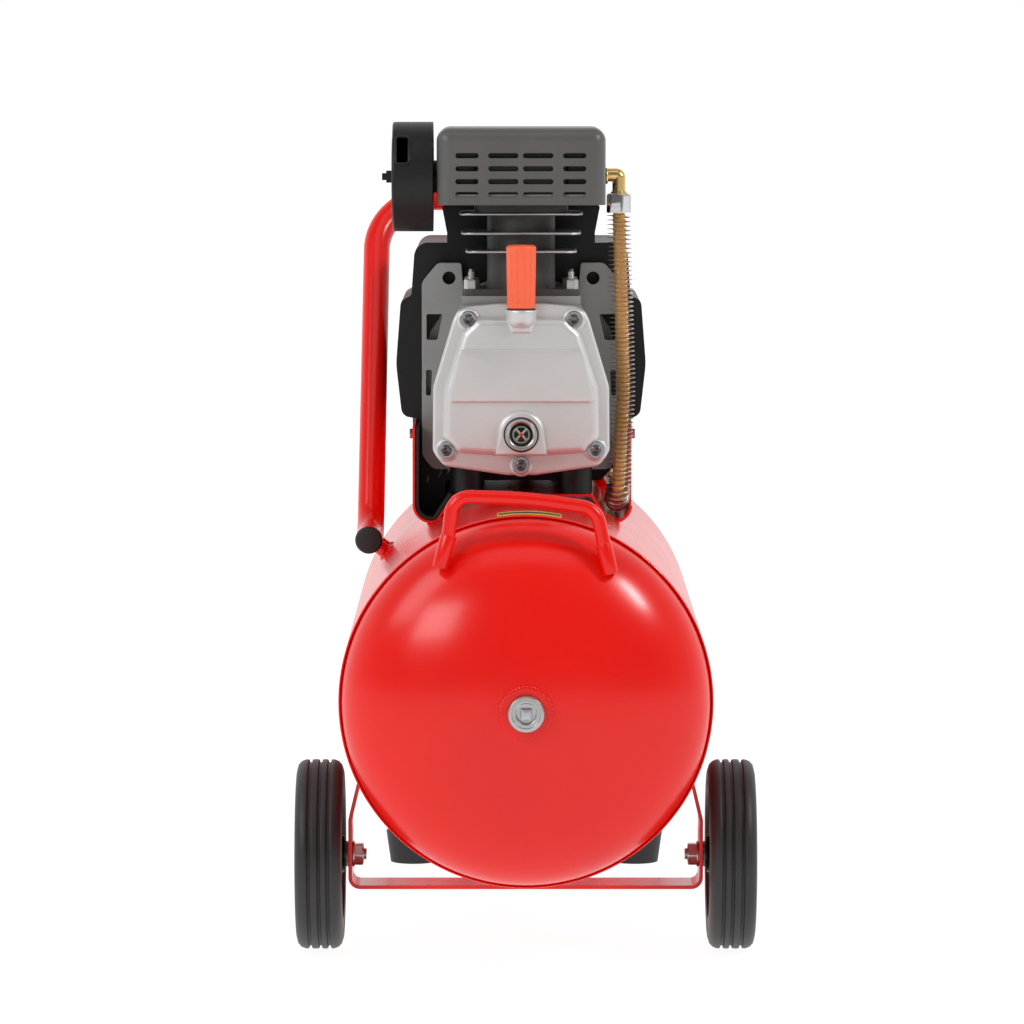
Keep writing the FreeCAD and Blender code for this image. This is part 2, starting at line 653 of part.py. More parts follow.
def motor_shroud():
    outline = shroud_outline()
    outer = plate_xz(outline, -42, 150)
    inner = plate_xz(inset(outline, 2.5), -39.5, 160)
    shell = outer.cut(inner)
    neck = [(62, 570), (62, 580), (66.5, 603.5)]
    baffle = plate_xz(outline_xz(at_pump([(-x, z) for x, z in reversed(neck)] + neck), 2), -42, -39.5)
    shape = join([shell, baffle])
    cuts = [rod_y(84, -50, -30, PUMP_X, SHAFT_Z)]
    cuts += [block(PUMP_X + x - 17, PUMP_X + x + 17, 102, 151, 360, 400) for x in (-45, 45)]
    cuts += [rod_x(2.2, PUMP_X - 95, PUMP_X + 95, y, 410) for y in SCREW_Y]
    for side in (-1, 1):
        for k in range(8):
            z = 436 + 9.5 * k
            low, high = sorted((PUMP_X + side * 94, PUMP_X + side * 110))
            for y0, y1 in ((-24, 34), (48, 106)):
                cuts.append(soft_box(block(low, high, y0, y1, z, z + 4), 1.8, V(1, 0, 0)))
    return shape.cut(cuts)


def fan_cover():
    outline = shroud_outline()
    plate = plate_xz(outline, 150, 152.5)
    rim = plate_xz(inset(outline, 2.6), 140, 151).cut(plate_xz(inset(outline, 5.0), 139, 152))
    dome = rod_y(80, 150, 168, PUMP_X, SHAFT_Z).cut(rod_y(77.5, 149, 165.5, PUMP_X, SHAFT_Z))
    base = join([plate.cut(rod_y(77.5, 149, 154, PUMP_X, SHAFT_Z)), rim, dome])
    cuts = [rod_y(6.3, 148, 154, PUMP_X + 72, 536)]
    cuts += [block(PUMP_X + x - 17, PUMP_X + x + 17, 130, 148, 360, 400) for x in (-45, 45)]
    for k in range(12):
        z = SHAFT_Z - 58 + 10.5 * k
        half = math.sqrt(70 ** 2 - (z + 2.5 - SHAFT_Z) ** 2)
        for low, high in ((-half, -3), (3, half)):
            cuts.append(block(PUMP_X + low, PUMP_X + high, 160, 170, z, z + 5))
    return base.cut(cuts)


def reset_button():
    x, z = PUMP_X + 72, 536
    return join([rod_y(6.2, 149.5, 158, x, z), rod_y(4, 145, 150, x, z)])


# ---------- air intake and discharge ----------

def air_filter_body():
    x0 = -94.0
    cup = rod_x(45.4, x0, -76.4, -90, 628.4).cut(rod_x(42.8, x0 - 1, -79, -90, 628.4))
    neck = rod_x(13.5, -78, PUMP_X - 40, -90, 628.4)
    return join([cup, neck]).cut(rod_x(9.5, -80, PUMP_X - 39, -90, 628.4))


def air_filter_cover():
    lid = rod_x(45.4, -110, -94, -90, 628.4).cut(rod_x(42.8, -107.5, -93, -90, 628.4))
    lid = lid.makeFillet(2.0, [e for e in lid.Edges if abs(e.CenterOfMass.x + 110) < 0.01])
    mouth = block(-107, -96, -140, -118, 640, 662)
    stud = join([rod_x(3, -119, -108, -90, 628.4), hexagon(10, 5, V(-115.5, -90, 628.4), V(1, 0, 0))])
    return join([lid.cut(mouth), stud])


def discharge_elbow():
    arm = [(PUMP_X + 40, -90, 629), (TUBE_X, -90, 629), (TUBE_X, -90, 600)]
    body = bent_rod(arm, 5.6, 7)
    collar = rod_x(10.5, PUMP_X + 40, PUMP_X + 60, -90, 629)
    core = bent_rod(arm, 3.8, 7)
    return join([body, collar]).cut(core)


def discharge_tube():
    path = [(TUBE_X, -90, 599.6), (TUBE_MID_X, -90, 452), (TUBE_LOW_X, -90, 359), (74, 178, 359), (74, 196, 372),
            (74, 201, 372)]
    core = bent_rod(path, 4.8, [0, 300, 15, 8, 3, 0])
    top_nut = hexagon(18.2, 16, V(TUBE_X, -90, 598.5), V(0, 0, 1)).cut(rod_z(5.7, 597, 616, TUBE_X, -90))
    return group([core, top_nut])


def discharge_fins():
    """Thin round fins threaded on the falling leg of the discharge tube and round its lower bend."""
    discs = []

    def disc(centre, normal):
        outer = Part.makeCylinder(10.0, 0.6, centre, normal)
        discs.append(outer.cut(Part.makeCylinder(5.7, 2.6, centre - normal, normal)))

    z = 592.0
    while z > 376:
        slope = (TUBE_MID_X - TUBE_X) / 148.0 if z > 452 else (TUBE_LOW_X - TUBE_MID_X) / 93.0
        anchor = TUBE_X + slope * (600 - z) if z > 452 else TUBE_MID_X + slope * (452 - z)
        disc(V(anchor, -90, z), V(0, 0, 1))
        z -= 3.7
    for k in range(6):
        turn = math.radians(8 + 15 * k)
        centre = V(TUBE_LOW_X, -75 - 15 * math.cos(turn), 374 - 15 * math.sin(turn))
        disc(centre, V(0, -math.sin(turn), math.cos(turn)))
    return group(discs)


def check_valve():
    x, y = 74, 212
    body = join([rod_z(7, 340, 356, x, y), rod_z(11, 356, 388, x, y), hexagon(22, 10, V(x, y, 388), V(0, 0, 1)),
                 rod_y(8, 201, 212, x, 372)])
    side = rod_x(2.6, 58, 70, y, 366)
    line = bent_rod([(64, y, 366), (26, y, 366), (26, y, 412)], 2.4, 8)
    return join([body, side, line])


# ---------- controls at the far end ----------

def manifold():
    """Brass bar with regulator body, outlet cock and safety valve."""
    y = PANEL_Y
    bar = block(-55, 58, y - 10, y + 10, 386, 406)
    stem = rod_z(8, CREST_Z - 6, 387, 0, y)
    regulator = rod_x(14, 57, 76, y, 396)
    cock = join([rod_x(9, -80, -54, y, 396), rod_x(6, -94, -79, y, 396), rod_z(5, 396, 409.5, -68, y)])
    barb = rod_x(7.5, -94, -90, y, 396)
    relief = join([rod_z(7, 405, 430, 46, y), hexagon(13, 6, V(46, y, 406), V(0, 0, 1))])
    gauge_stem = rod_y(5, y + 9, y + 36, 30, 396)
    shape = join([bar, stem, regulator, cock, barb, relief, gauge_stem])
    return shape.cut([rod_x(3, -96, 60, y, 396), rod_z(2.05, 412, 432, 46, y)])


def switch_box():
    base = block(-32, 32, PANEL_Y - 35, PANEL_Y + 35, 412, 418)
    cover = soft_box(block(-30, 30, PANEL_Y - 33, PANEL_Y + 33, 418, 480), 6, V(0, 0, 1))
    hollow = block(-27, 27, PANEL_Y - 30, PANEL_Y + 30, 418, 477)
    stem = rod_z(7, 406, 412, 0, PANEL_Y)
    glands = [rod_x(8, -42, -29, PANEL_Y, 440).cut(rod_x(4, -43, -28, PANEL_Y, 440)),
              rod_y(8, PANEL_Y - 45, PANEL_Y - 32, 0, 440).cut(rod_y(4, PANEL_Y - 46, PANEL_Y - 31, 0, 440))]
    shape = join([base, cover.cut(hollow), stem] + glands)
    cuts = [rod_z(5.05, 470, 485, 0, PANEL_Y), rod_x(3.5, -32, -26, PANEL_Y, 440),
            rod_y(3.5, PANEL_Y - 36, PANEL_Y - 29, 0, 440)]
    return shape.cut(cuts)


def switch_knob():
    top = rod_z(12, 480.4, 494, 0, PANEL_Y)
    return join([top.makeFillet(2.5, [e for e in top.Edges if e.CenterOfMass.z > 493]),
                 rod_z(5, 462, 481, 0, PANEL_Y)])


def gauge_case():
    y = PANEL_Y + 36
    ring = rod_y(21, y, y + 16, 30, 396).cut(rod_y(19, y + 5, y + 14, 30, 396))
    window = rod_y(17.5, y + 13.9, y + 17, 30, 396)
    lens = rod_y(17.5, y + 14, y + 16, 30, 396)
    post = rod_y(1.0, y + 4, y + 11, 30, 396)
    return join([ring.cut(window), lens, post])


def gauge_needle():
    y = PANEL_Y + 42.5
    arm = block(29.2, 30.8, y, y + 1, 392, 411)
    return join([rod_y(3, y, y + 2, 30, 396), arm]).cut(rod_y(1.05, y - 1, y + 4, 30, 396))


def regulator_knob():
    knob = rod_x(15, 76.3, 94, PANEL_Y, 396)
    grips = []
    for k in range(12):
        turn = math.radians(30 * k)
        grips.append(rod_x(1.8, 80, 95, PANEL_Y + 15.6 * math.cos(turn), 396 + 15.6 * math.sin(turn)))
    return knob.cut(grips)


def cock_lever():
    z = 409.8
    arm = block(-72, -64, PANEL_Y - 5, PANEL_Y + 38, z, z + 3)
    return join([soft_box(arm, 3.5, V(0, 0, 1)), rod_z(6, z, z + 5, -68, PANEL_Y)])


def safety_ring():
    z = 440.0
    ring = Part.makeTorus(8, 1.2, V(46, PANEL_Y, z), V(0, 1, 0))
    return join([ring, rod_z(2.0, 416, z - 7, 46, PANEL_Y)])


def drain_valve():
    body = join([rod_z(6, 50, 70, 0, 150), rod_z(10, 42, 56, 0, 150)])
    return join([body, rod_y(4, 158, 172, 0, 49)]).cut(rod_y(2, 150, 173, 0, 49))


def drain_knob():
    disc = rod_z(9, 30, 39, 0, 150)
    wings = block(-14, 14, 148, 152, 30, 38)
    stem = rod_z(3.5, 38, 41.7, 0, 150)
    return join([disc, wings, stem])


# ---------- main handle ----------

def main_handle():
    path = [(HANDLE_X, -10, 318.7), (HANDLE_X, 52, 318.7), (HANDLE_X + 2.7, 222, 603), (60, 222, 603)]
    outer = bent_rod(path, HANDLE_R, [0, 45, 42, 0])
    inner = bent_rod(path, HANDLE_R - 1.5, [0, 45, 42, 0])
    return outer.cut(inner)


def handle_plugs():
    front = join([rod_y(HANDLE_R, -13, -10, HANDLE_X, 318.7), rod_y(HANDLE_R - 1.5, -10, 4, HANDLE_X, 318.7)])
    grip_end = join([rod_x(HANDLE_R, 60, 63, 222, 603), rod_x(HANDLE_R - 1.5, 46, 60, 222, 603)])
    return group([front, grip_end])


NODES = {
    "tank_shell": tank_shell, "tank_heads": tank_heads, "tank_weldments": tank_weldments,
    "end_plugs": end_plugs, "bail_handle": bail_handle, "wheel_bracket": wheel_bracket,
    "wheel_axles": wheel_axles, "rear_foot_bracket": rear_foot_bracket, "rubber_feet": rubber_feet,
    "foot_bolts": foot_bolts, "saddle": saddle, "shroud_screws": shroud_screws, "rubber_dampers": rubber_dampers, "crankcase": crankcase,
    "crankcase_cover": crankcase_cover, "cover_bolts": cover_bolts, "sight_glass": sight_glass,
    "oil_plug": oil_plug, "cylinder": cylinder, "cylinder_nuts": cylinder_nuts, "valve_plate": valve_plate,
    "cylinder_head": cylinder_head, "head_shroud": head_shroud, "piston": piston, "wrist_pin": wrist_pin,
    "connecting_rod": connecting_rod, "crank": crank, "bearings": bearings, "stator": stator,
    "windings": windings, "rotor": rotor, "motor_shaft": motor_shaft, "fan": fan, "end_bell": end_bell,
    "capacitor": capacitor, "motor_shroud": motor_shroud, "fan_cover": fan_cover,
    "reset_button": reset_button, "air_filter_body": air_filter_body, "air_filter_cover": air_filter_cover,
    "discharge_elbow": discharge_elbow, "discharge_tube": discharge_tube, "discharge_fins": discharge_fins,
    "check_valve": check_valve, "manifold": manifold, "switch_box": switch_box, "switch_knob": switch_knob,
    "gauge_case": gauge_case, "gauge_needle": gauge_needle, "regulator_knob": regulator_knob,
    "cock_lever": cock_lever, "safety_ring": safety_ring, "drain_valve": drain_valve,
    "drain_knob": drain_knob, "main_handle": main_handle, "handle_plugs": handle_plugs,
}

os.makedirs("parts", exist_ok=True)
for node, make in NODES.items():
    shape = make()
    print(node, shape.isValid(), len(shape.Solids), round(shape.Volume / 1000.0, 1), flush=True)
    shape.exportStep("parts/" + node + ".step")
for name, make, plane in (("tyre", tyre, 0), ("hub", hub, 0)):
    right = make()
    right.exportStep("parts/" + name + "_right.step")
    mirrored(right).exportStep("parts/" + name + "_left.step")
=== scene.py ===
import bpy
import bmesh
import json
import math
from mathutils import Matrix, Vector


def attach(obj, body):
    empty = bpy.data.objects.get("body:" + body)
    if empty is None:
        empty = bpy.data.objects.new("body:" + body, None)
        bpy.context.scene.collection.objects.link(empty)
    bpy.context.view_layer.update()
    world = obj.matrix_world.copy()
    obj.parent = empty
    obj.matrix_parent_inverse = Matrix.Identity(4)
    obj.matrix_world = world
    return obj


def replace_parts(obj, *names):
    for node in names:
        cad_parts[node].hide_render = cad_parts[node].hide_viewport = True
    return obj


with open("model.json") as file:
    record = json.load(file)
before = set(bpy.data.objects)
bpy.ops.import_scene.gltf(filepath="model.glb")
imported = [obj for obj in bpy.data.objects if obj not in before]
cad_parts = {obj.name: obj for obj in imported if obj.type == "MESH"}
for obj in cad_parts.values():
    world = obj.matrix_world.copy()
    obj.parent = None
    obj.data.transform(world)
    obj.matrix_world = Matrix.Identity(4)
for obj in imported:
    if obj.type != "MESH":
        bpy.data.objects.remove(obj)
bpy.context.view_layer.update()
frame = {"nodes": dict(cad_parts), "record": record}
NODES = frame["nodes"]
ROOT = "frame_body"

# Lengths below are in millimetres, X right, Y away from the viewer and Z up; meshes are made in metres.
MM = 0.001
TANK_Z = 214
TANK_R = 150
TANK_HALF = 300          # half of the straight barrel, where the dished heads begin
HEAD_DEPTH = 75
BOSS_Y = 374.6           # where the end boss meets the head
BAIL_Y = -341.0
AXLE_Y = -200
AXLE_Z = 77.5
PUMP_X = -3.6            # the pump stands a little left of the tank's middle
PLUG_Y = -151            # axis of the oil filler plug
CYLINDER_Y = -95
HEAD_Y = -90             # intake and discharge run at this depth
FILTER_Z = 628.4
FILTER_R = 45.4
ELBOW_Z = 629.8
COLLAR_Z = 629
TUBE_TOP = (77.6, HEAD_Y, 599.6)
FIN_PITCH = 3.7
HANDLE_X = -132.5
HANDLE_FOOT_Z = 318.7
HANDLE_BAR = (222, 603)  # Y and Z of the grip bar
GAUGE = (30, 0, 396)


# ---------------------------------------------------------------- materials

def finish(name, color, rough, metal=0.0, coat=0.0, grain=300.0, bump=0.05, mottle=0.06, stretch=None,
           rough_var=0.08, specular=0.5, edge=0.0006):
    """A surface with grain, a little colour change, patchy gloss and softened edges."""
    mat = bpy.data.materials.new(name)
    mat.use_nodes = True
    tree = mat.node_tree
    shader = tree.nodes["Principled BSDF"]
    coords = tree.nodes.new("ShaderNodeTexCoord")
    mapping = tree.nodes.new("ShaderNodeMapping")
    mapping.inputs["Scale"].default_value = stretch or (1, 1, 1)
    tree.links.new(coords.outputs["Object"], mapping.inputs["Vector"])

    fine = tree.nodes.new("ShaderNodeTexNoise")
    fine.inputs["Scale"].default_value = grain
    fine.inputs["Detail"].default_value = 4
    tree.links.new(mapping.outputs["Vector"], fine.inputs["Vector"])
    broad = tree.nodes.new("ShaderNodeTexNoise")
    broad.inputs["Scale"].default_value = 14
    broad.inputs["Detail"].default_value = 5
    tree.links.new(mapping.outputs["Vector"], broad.inputs["Vector"])

    ramp = tree.nodes.new("ShaderNodeValToRGB")
    ramp.color_ramp.elements[0].position = 0.3
    ramp.color_ramp.elements[1].position = 0.7
    dark = [c * (1 - mottle) for c in color]
    light = [min(1.0, c * (1 + mottle)) for c in color]
    ramp.color_ramp.elements[0].color = (*dark, 1)
    ramp.color_ramp.elements[1].color = (*light, 1)
    tree.links.new(broad.outputs["Fac"], ramp.inputs["Fac"])
    tree.links.new(ramp.outputs["Color"], shader.inputs["Base Color"])

    spread = tree.nodes.new("ShaderNodeMapRange")
    spread.inputs["To Min"].default_value = max(0.02, rough - rough_var)
    spread.inputs["To Max"].default_value = rough + rough_var
    tree.links.new(broad.outputs["Fac"], spread.inputs["Value"])
    tree.links.new(spread.outputs["Result"], shader.inputs["Roughness"])

    relief = tree.nodes.new("ShaderNodeBump")
    relief.inputs["Strength"].default_value = bump
    relief.inputs["Distance"].default_value = 0.0006
    tree.links.new(fine.outputs["Fac"], relief.inputs["Height"])
    if edge:
        soft = tree.nodes.new("ShaderNodeBevel")
        soft.samples = 4
        soft.inputs["Radius"].default_value = edge
        tree.links.new(soft.outputs["Normal"], relief.inputs["Normal"])
    tree.links.new(relief.outputs["Normal"], shader.inputs["Normal"])
    shader.inputs["Metallic"].default_value = metal
    shader.inputs["Coat Weight"].default_value = coat
    shader.inputs["Coat Roughness"].default_value = 0.06
    shader.inputs["Specular IOR Level"].default_value = specular
    return mat


MATS = {
    "red_paint": finish("red_paint", (0.86, 0.006, 0.002), 0.24, coat=0.05, grain=220, bump=0.02, mottle=0.03,
                        rough_var=0.04, specular=0.42),
    "zinc": finish("zinc", (0.5, 0.5, 0.49), 0.3, metal=1.0, grain=700, bump=0.06, mottle=0.1),
    "rubber": finish("rubber", (0.012, 0.012, 0.013), 0.55, grain=900, bump=0.2, mottle=0.3),
    "tyre": finish("tyre", (0.027, 0.026, 0.026), 0.5, grain=500, bump=0.15, mottle=0.3),
    "cast_alu": finish("cast_alu", (0.66, 0.66, 0.65), 0.4, metal=0.55, grain=1100, bump=0.28, mottle=0.05),
    "sight_glass": finish("sight_glass", (0.02, 0.05, 0.04), 0.12, coat=0.6, grain=300, bump=0.02),
    "orange_plastic": finish("orange_plastic", (0.95, 0.14, 0.05), 0.38, grain=700, bump=0.08, mottle=0.04),
    "cast_iron": finish("cast_iron", (0.055, 0.052, 0.05), 0.5, metal=0.35, grain=500, bump=0.5, mottle=0.3),
    "steel": finish("steel", (0.5, 0.5, 0.52), 0.3, metal=1.0, grain=800, bump=0.08, mottle=0.1),
    "black_plastic": finish("black_plastic", (0.006, 0.006, 0.006), 0.42, grain=1500, bump=0.22, mottle=0.15,
                            specular=0.35),
    "shroud_grey": finish("shroud_grey", (0.09, 0.085, 0.08), 0.36, grain=1600, bump=0.25, mottle=0.1,
                          specular=0.6),
    # Dark colour given to the cylinder head and valve plate: painted shade for the inside of the head shroud.
    "casting_painted_shade": finish("casting_painted_shade", (0.03, 0.03, 0.03), 0.4, metal=0.4, grain=500, bump=0.4,
                           mottle=0.3),
    "plate_grey": finish("plate_grey", (0.33, 0.33, 0.32), 0.45, metal=0.55, grain=1100, bump=0.28,
                         mottle=0.08),
    "lamination": finish("lamination", (0.3, 0.31, 0.33), 0.45, metal=0.8, grain=60, bump=0.3,
                         stretch=(1, 60, 1)),
    "copper": finish("copper", (1.0, 0.52, 0.16), 0.25, metal=0.1, grain=600, bump=0.08, mottle=0.15),
    "red_plastic": finish("red_plastic", (0.6, 0.02, 0.015), 0.35, grain=900, bump=0.08),
    "brass": finish("brass", (0.78, 0.55, 0.22), 0.26, metal=1.0, grain=700, bump=0.06, mottle=0.1),
    "finned_alu": finish("finned_alu", (0.66, 0.56, 0.5), 0.3, metal=0.85, grain=500, bump=0.1, mottle=0.25),
    "gauge_face": finish("gauge_face", (0.8, 0.8, 0.8), 0.2, metal=1.0, grain=800, bump=0.03),
}
SLOTS = dict((s["node"], s["material_slot"]) for s in frame["record"]["subparts"])
# Nodes that look different from the other nodes of their slot. The cylinder head and valve plate get a dark
# colour as painted shade for the inside of the head shroud.
SPECIAL = {"head_shroud": "shroud_grey", "cylinder_head": "casting_painted_shade", "crankcase": "plate_grey",
           "end_bell": "plate_grey", "valve_plate": "casting_painted_shade", "rubber_dampers": "black_plastic"}
for name, obj in NODES.items():
    obj.data.materials.clear()
    obj.data.materials.append(MATS[SPECIAL.get(name, SLOTS[name])])

# ---------------------------------------------------------------- mesh helpers

def place(name, mesh, mat, body=ROOT, smooth=45):
    """Make a piece from a mesh, shade it and let it ride on a body."""
    obj = bpy.data.objects.new(name, mesh)
    bpy.context.collection.objects.link(obj)
    mesh.materials.clear()
    mesh.materials.append(MATS[mat] if isinstance(mat, str) else mat)
    if smooth:
        mesh.polygons.foreach_set("use_smooth", [True] * len(mesh.polygons))
        mesh.set_sharp_from_angle(angle=math.radians(smooth))
    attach(obj, body)
    return obj


def from_grid(name, rings, closed_ring=True, closed_path=False, caps=False):
    """Mesh from a list of rings, each a list of points."""
    count = len(rings[0])
    verts = [p for ring in rings for p in ring]
    faces = []
    last = len(rings) if closed_path else len(rings) - 1
    for i in range(last):
        j = (i + 1) % len(rings)
        for k in range(count if closed_ring else count - 1):
            m = (k + 1) % count
            faces.append((i * count + k, i * count + m, j * count + m, j * count + k))
    if caps:
        faces.append(tuple(range(count))[::-1])
        faces.append(tuple((len(rings) - 1) * count + k for k in range(count)))
    mesh = bpy.data.meshes.new(name)
    mesh.from_pydata([tuple(v) for v in verts], [], faces)
    mesh.update()
    fix = bmesh.new()
    fix.from_mesh(mesh)
    bmesh.ops.remove_doubles(fix, verts=fix.verts, dist=1e-7)
    bmesh.ops.recalc_face_normals(fix, faces=fix.faces)
    fix.to_mesh(mesh)
    fix.free()
    return mesh


AXES = {"X": (Vector((1, 0, 0)), Vector((0, 1, 0)), Vector((0, 0, 1))),
        "Y": (Vector((0, 1, 0)), Vector((0, 0, 1)), Vector((1, 0, 0))),
        "Z": (Vector((0, 0, 1)), Vector((1, 0, 0)), Vector((0, 1, 0)))}


def lathe(name, profile, axis, centre, turns=96, wave=None, closed=False):
    """Turn a profile of (along, radius) points in millimetres about an axis through centre."""
    run, side, up = AXES[axis]
    centre = Vector(centre)
    rings = []
    for along, radius in profile:
        ring = []
        for k in range(turns):
            turn = 2 * math.pi * k / turns
            r = radius + (wave(along, radius, turn) if wave else 0.0)
            spoke = side * (r * math.cos(turn)) + up * (r * math.sin(turn))
            ring.append((centre + run * along + spoke) * MM)
        rings.append(ring)
    return from_grid(name, rings, closed_path=closed)


def arc_points(cx, cy, r, start, end, steps):
    """Points on an arc in a plane, from start to end in degrees."""
    points = []
    for k in range(steps + 1):
        turn = math.radians(start + (end - start) * k / steps)
        points.append((cx + r * math.cos(turn), cy + r * math.sin(turn)))
    return points


def circle_points(cx, cy, r, steps):
    """Closed circle for the profile of a ring."""
    return arc_points(cx, cy, r, -90, 270, steps)[:-1]


def rounded_path(points, radius, steps=12):
    """Polyline in millimetres with its corners rounded."""
    points = [Vector(p) for p in points]
    result = [points[0]]
    for i in range(1, len(points) - 1):
        r = radius[i] if isinstance(radius, (list, tuple)) else radius
        back = (points[i - 1] - points[i]).normalized()
        ahead = (points[i + 1] - points[i]).normalized()
        half = back.angle(ahead) / 2
        if r <= 0 or abs(half - math.pi / 2) < 1e-4:
            result.append(points[i])
            continue
        centre = points[i] + (back + ahead).normalized() * (r / math.sin(half))
        first = points[i] + back * (r / math.tan(half)) - centre
        last = points[i] + ahead * (r / math.tan(half)) - centre
        full = first.angle(last)
        for k in range(steps + 1):
            t = k / steps
            blend = first * math.sin((1 - t) * full) + last * math.sin(t * full)
            result.append(centre + blend / math.sin(full))
    result.append(points[-1])
    return result


def frames_along(path):
    """A tangent and two side directions at each point, without twist."""
    tangents = []
    for i in range(len(path)):
        a = path[max(0, i - 1)]
        b = path[min(len(path) - 1, i + 1)]
        tangents.append((b - a).normalized())
    side = tangents[0].orthogonal().normalized()
    result = []
    for t in tangents:
        side = (side - t * side.dot(t)).normalized()
        result.append((t, side, t.cross(side)))
    return result


def sweep(name, path, radius, turns=32, caps=True):
    """Round tube along a path in millimetres; radius is a number or a list, one per point."""
    rings = []
    for i, (t, side, up) in enumerate(frames_along(path)):
        r = radius[i] if isinstance(radius, (list, tuple)) else radius
        rings.append([(path[i] + side * (r * math.cos(a)) + up * (r * math.sin(a))) * MM
                      for a in (2 * math.pi * k / turns for k in range(turns))])
    return from_grid(name, rings, caps=caps)


def slab(name, outline, y0, y1, chamfer=1.0, steps=3, both=False):
    """Outline of (x, z) points given a thickness along Y, with a rounded front edge at y0."""
    cx = sum(p[0] for p in outline) / len(outline)
    cz = sum(p[1] for p in outline) / len(outline)
    rings = []

    def ring(y, inset):
        made = []
        count = len(outline)
        for i, (x, z) in enumerate(outline):
            px, pz = outline[i - 1]
            nx, nz = outline[(i + 1) % count]
            dx, dz = nx - px, nz - pz
            length = math.hypot(dx, dz) or 1.0
            ox, oz = dz / length, -dx / length
            if ox * (x - cx) + oz * (z - cz) < 0 and abs(ox * (x - cx) + oz * (z - cz)) > 1e-6:
                ox, oz = -ox, -oz
            made.append(Vector((x - ox * inset, y, z - oz * inset)) * MM)
        return made

    rings.append([Vector((cx + (x - cx) * 0.02, y0, cz + (z - cz) * 0.02)) * MM for x, z in outline])
    for k in range(steps + 1):
        turn = math.pi / 2 * k / steps
        rings.append(ring(y0 + chamfer * (1 - math.cos(turn)), chamfer * (1 - math.sin(turn))))
    if both:
        for k in range(steps + 1):
            turn = math.pi / 2 * k / steps
            rings.append(ring(y1 - chamfer * (1 - math.sin(turn)), chamfer * (1 - math.cos(turn))))
    else:
        rings.append(ring(y1, 0))
    return from_grid(name, rings, caps=True)


def round_outline(points, radius, steps=8):
    """Closed outline of (x, z) points with rounded corners."""
    count = len(points)
    result = []
    for i in range(count):
        r = radius[i] if isinstance(radius, (list, tuple)) else radius
        p = Vector(points[i])
        back = (Vector(points[i - 1]) - p).normalized()
        ahead = (Vector(points[(i + 1) % count]) - p).normalized()
        half = back.angle(ahead) / 2
        if r <= 0 or abs(half - math.pi / 2) < 1e-3:
            result.append(tuple(p))
            continue
        centre = p + (back + ahead).normalized() * (r / math.sin(half))
        first = p + back * (r / math.tan(half)) - centre
        last = p + ahead * (r / math.tan(half)) - centre
        full = first.angle(last)
        for k in range(steps + 1):
            t = k / steps
            q = centre + (first * math.sin((1 - t) * full) + last * math.sin(t * full)) / math.sin(full)
            result.append(tuple(q))
    return result


def hex_head(name, flats, height, base, axis, crown=0.12, dimple=0.0):
    """Hexagonal head with its corners turned down, standing on base along axis."""
    run, side, up = (Vector(v) for v in axis)
    base = Vector(base)
    corner = flats / math.sqrt(3)
    rings = []
    turns = 72

    def ring(along, cap):
        made = []
        for k in range(turns):
            a = 2 * math.pi * k / turns
            hexed = (flats / 2) / math.cos((a % (math.pi / 3)) - math.pi / 6)
            r = min(hexed, cap)
            made.append((base + run * along + side * (r * math.cos(a)) + up * (r * math.sin(a))) * MM)
        return made

    rings.append(ring(0, corner * 1.001))
    rings.append(ring(height * (1 - crown * 1.4), corner * 1.001))
    rings.append(ring(height * (1 - crown * 0.6), corner * 0.955))
    rings.append(ring(height, flats / 2 * 0.93))
    if dimple:
        rings.append(ring(height, flats / 2 * 0.6))
        rings.append(ring(height - dimple, flats / 2 * 0.5))
    rings.append(ring(height - dimple, 0.01))
    return from_grid(name, rings)


# ---------------------------------------------------------------- tank and its fittings

HEAD_RIM_R = 147.6       # the head's skirt fits inside the barrel
LIP = [(-301.4, 147.9), (-302.6, 148.2), (-303.3, 148.7), (-303.5, 149.2), (-303.1, 149.7), (-302.2, 149.95),
       (-300.6, 150.0), (-299.7, 149.5), (-299.0, 149.5), (-298.6, 150.0), (-290.0, 150.0), (-280.0, 150.0)]


def ellipse_head(side, steps=40, hole=9.0):
    """Profile of a dished head, from the barrel in to the boss hole; side is -1 in front and 1 behind."""
    points = []
    end = math.acos(hole / HEAD_RIM_R)
    for k in range(steps + 1):
        turn = end * (1 - k / steps)
        points.append((side * (TANK_HALF + HEAD_DEPTH * math.sin(turn)), HEAD_RIM_R * math.cos(turn)))
    return points


def tank():
    """Barrel and both heads as one painted skin, with the lip of each head seam and the long seam below."""
    barrel = [(-150, TANK_R), (0, TANK_R), (150, TANK_R)]
    rear_lip = [(-along, r) for along, r in reversed(LIP)]
    profile = ellipse_head(-1) + LIP + barrel + rear_lip + list(reversed(ellipse_head(1)))
    mesh = lathe("tank", profile, "Y", (0, 0, TANK_Z), turns=192)
    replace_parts(place("tank", mesh, "red_paint", smooth=30), "tank_shell", "tank_heads")
    seam = []
    thickness = []
    for k in range(121):
        seam.append(Vector((0.35 * math.sin(k * 1.7), -285 + 4.75 * k, TANK_Z - TANK_R + 0.2)))
        thickness.append(1.2 + 0.25 * math.sin(k * 2.6))
    place("long_seam", sweep("long_seam", seam, thickness, turns=10), "red_paint")


def weld_ring(name, centre, axis, radius, size, mat="red_paint", body=ROOT):
    """A rippled weld bead round a boss."""
    profile = circle_points(0, radius, size, 10)

    def ripple(along, r, turn):
        return 0.18 * size * math.sin(turn * 46)

    mesh = lathe(name, profile, axis, centre, turns=276, wave=ripple, closed=True)
    return place(name, mesh, mat, body)


PLUG_PROFILE = [(381.0, 0.01), (381.0, 13.6), (381.4, 14.6), (386.8, 14.6), (387.9, 13.6), (388.0, 11.4),
                (387.3, 10.9), (387.3, 9.0), (388.0, 8.5), (387.6, 7.8), (383.0, 7.6), (382.9, 0.01)]
PLUG_KEY_HALF = 4.4      # half the width of the square key in the plug's socket


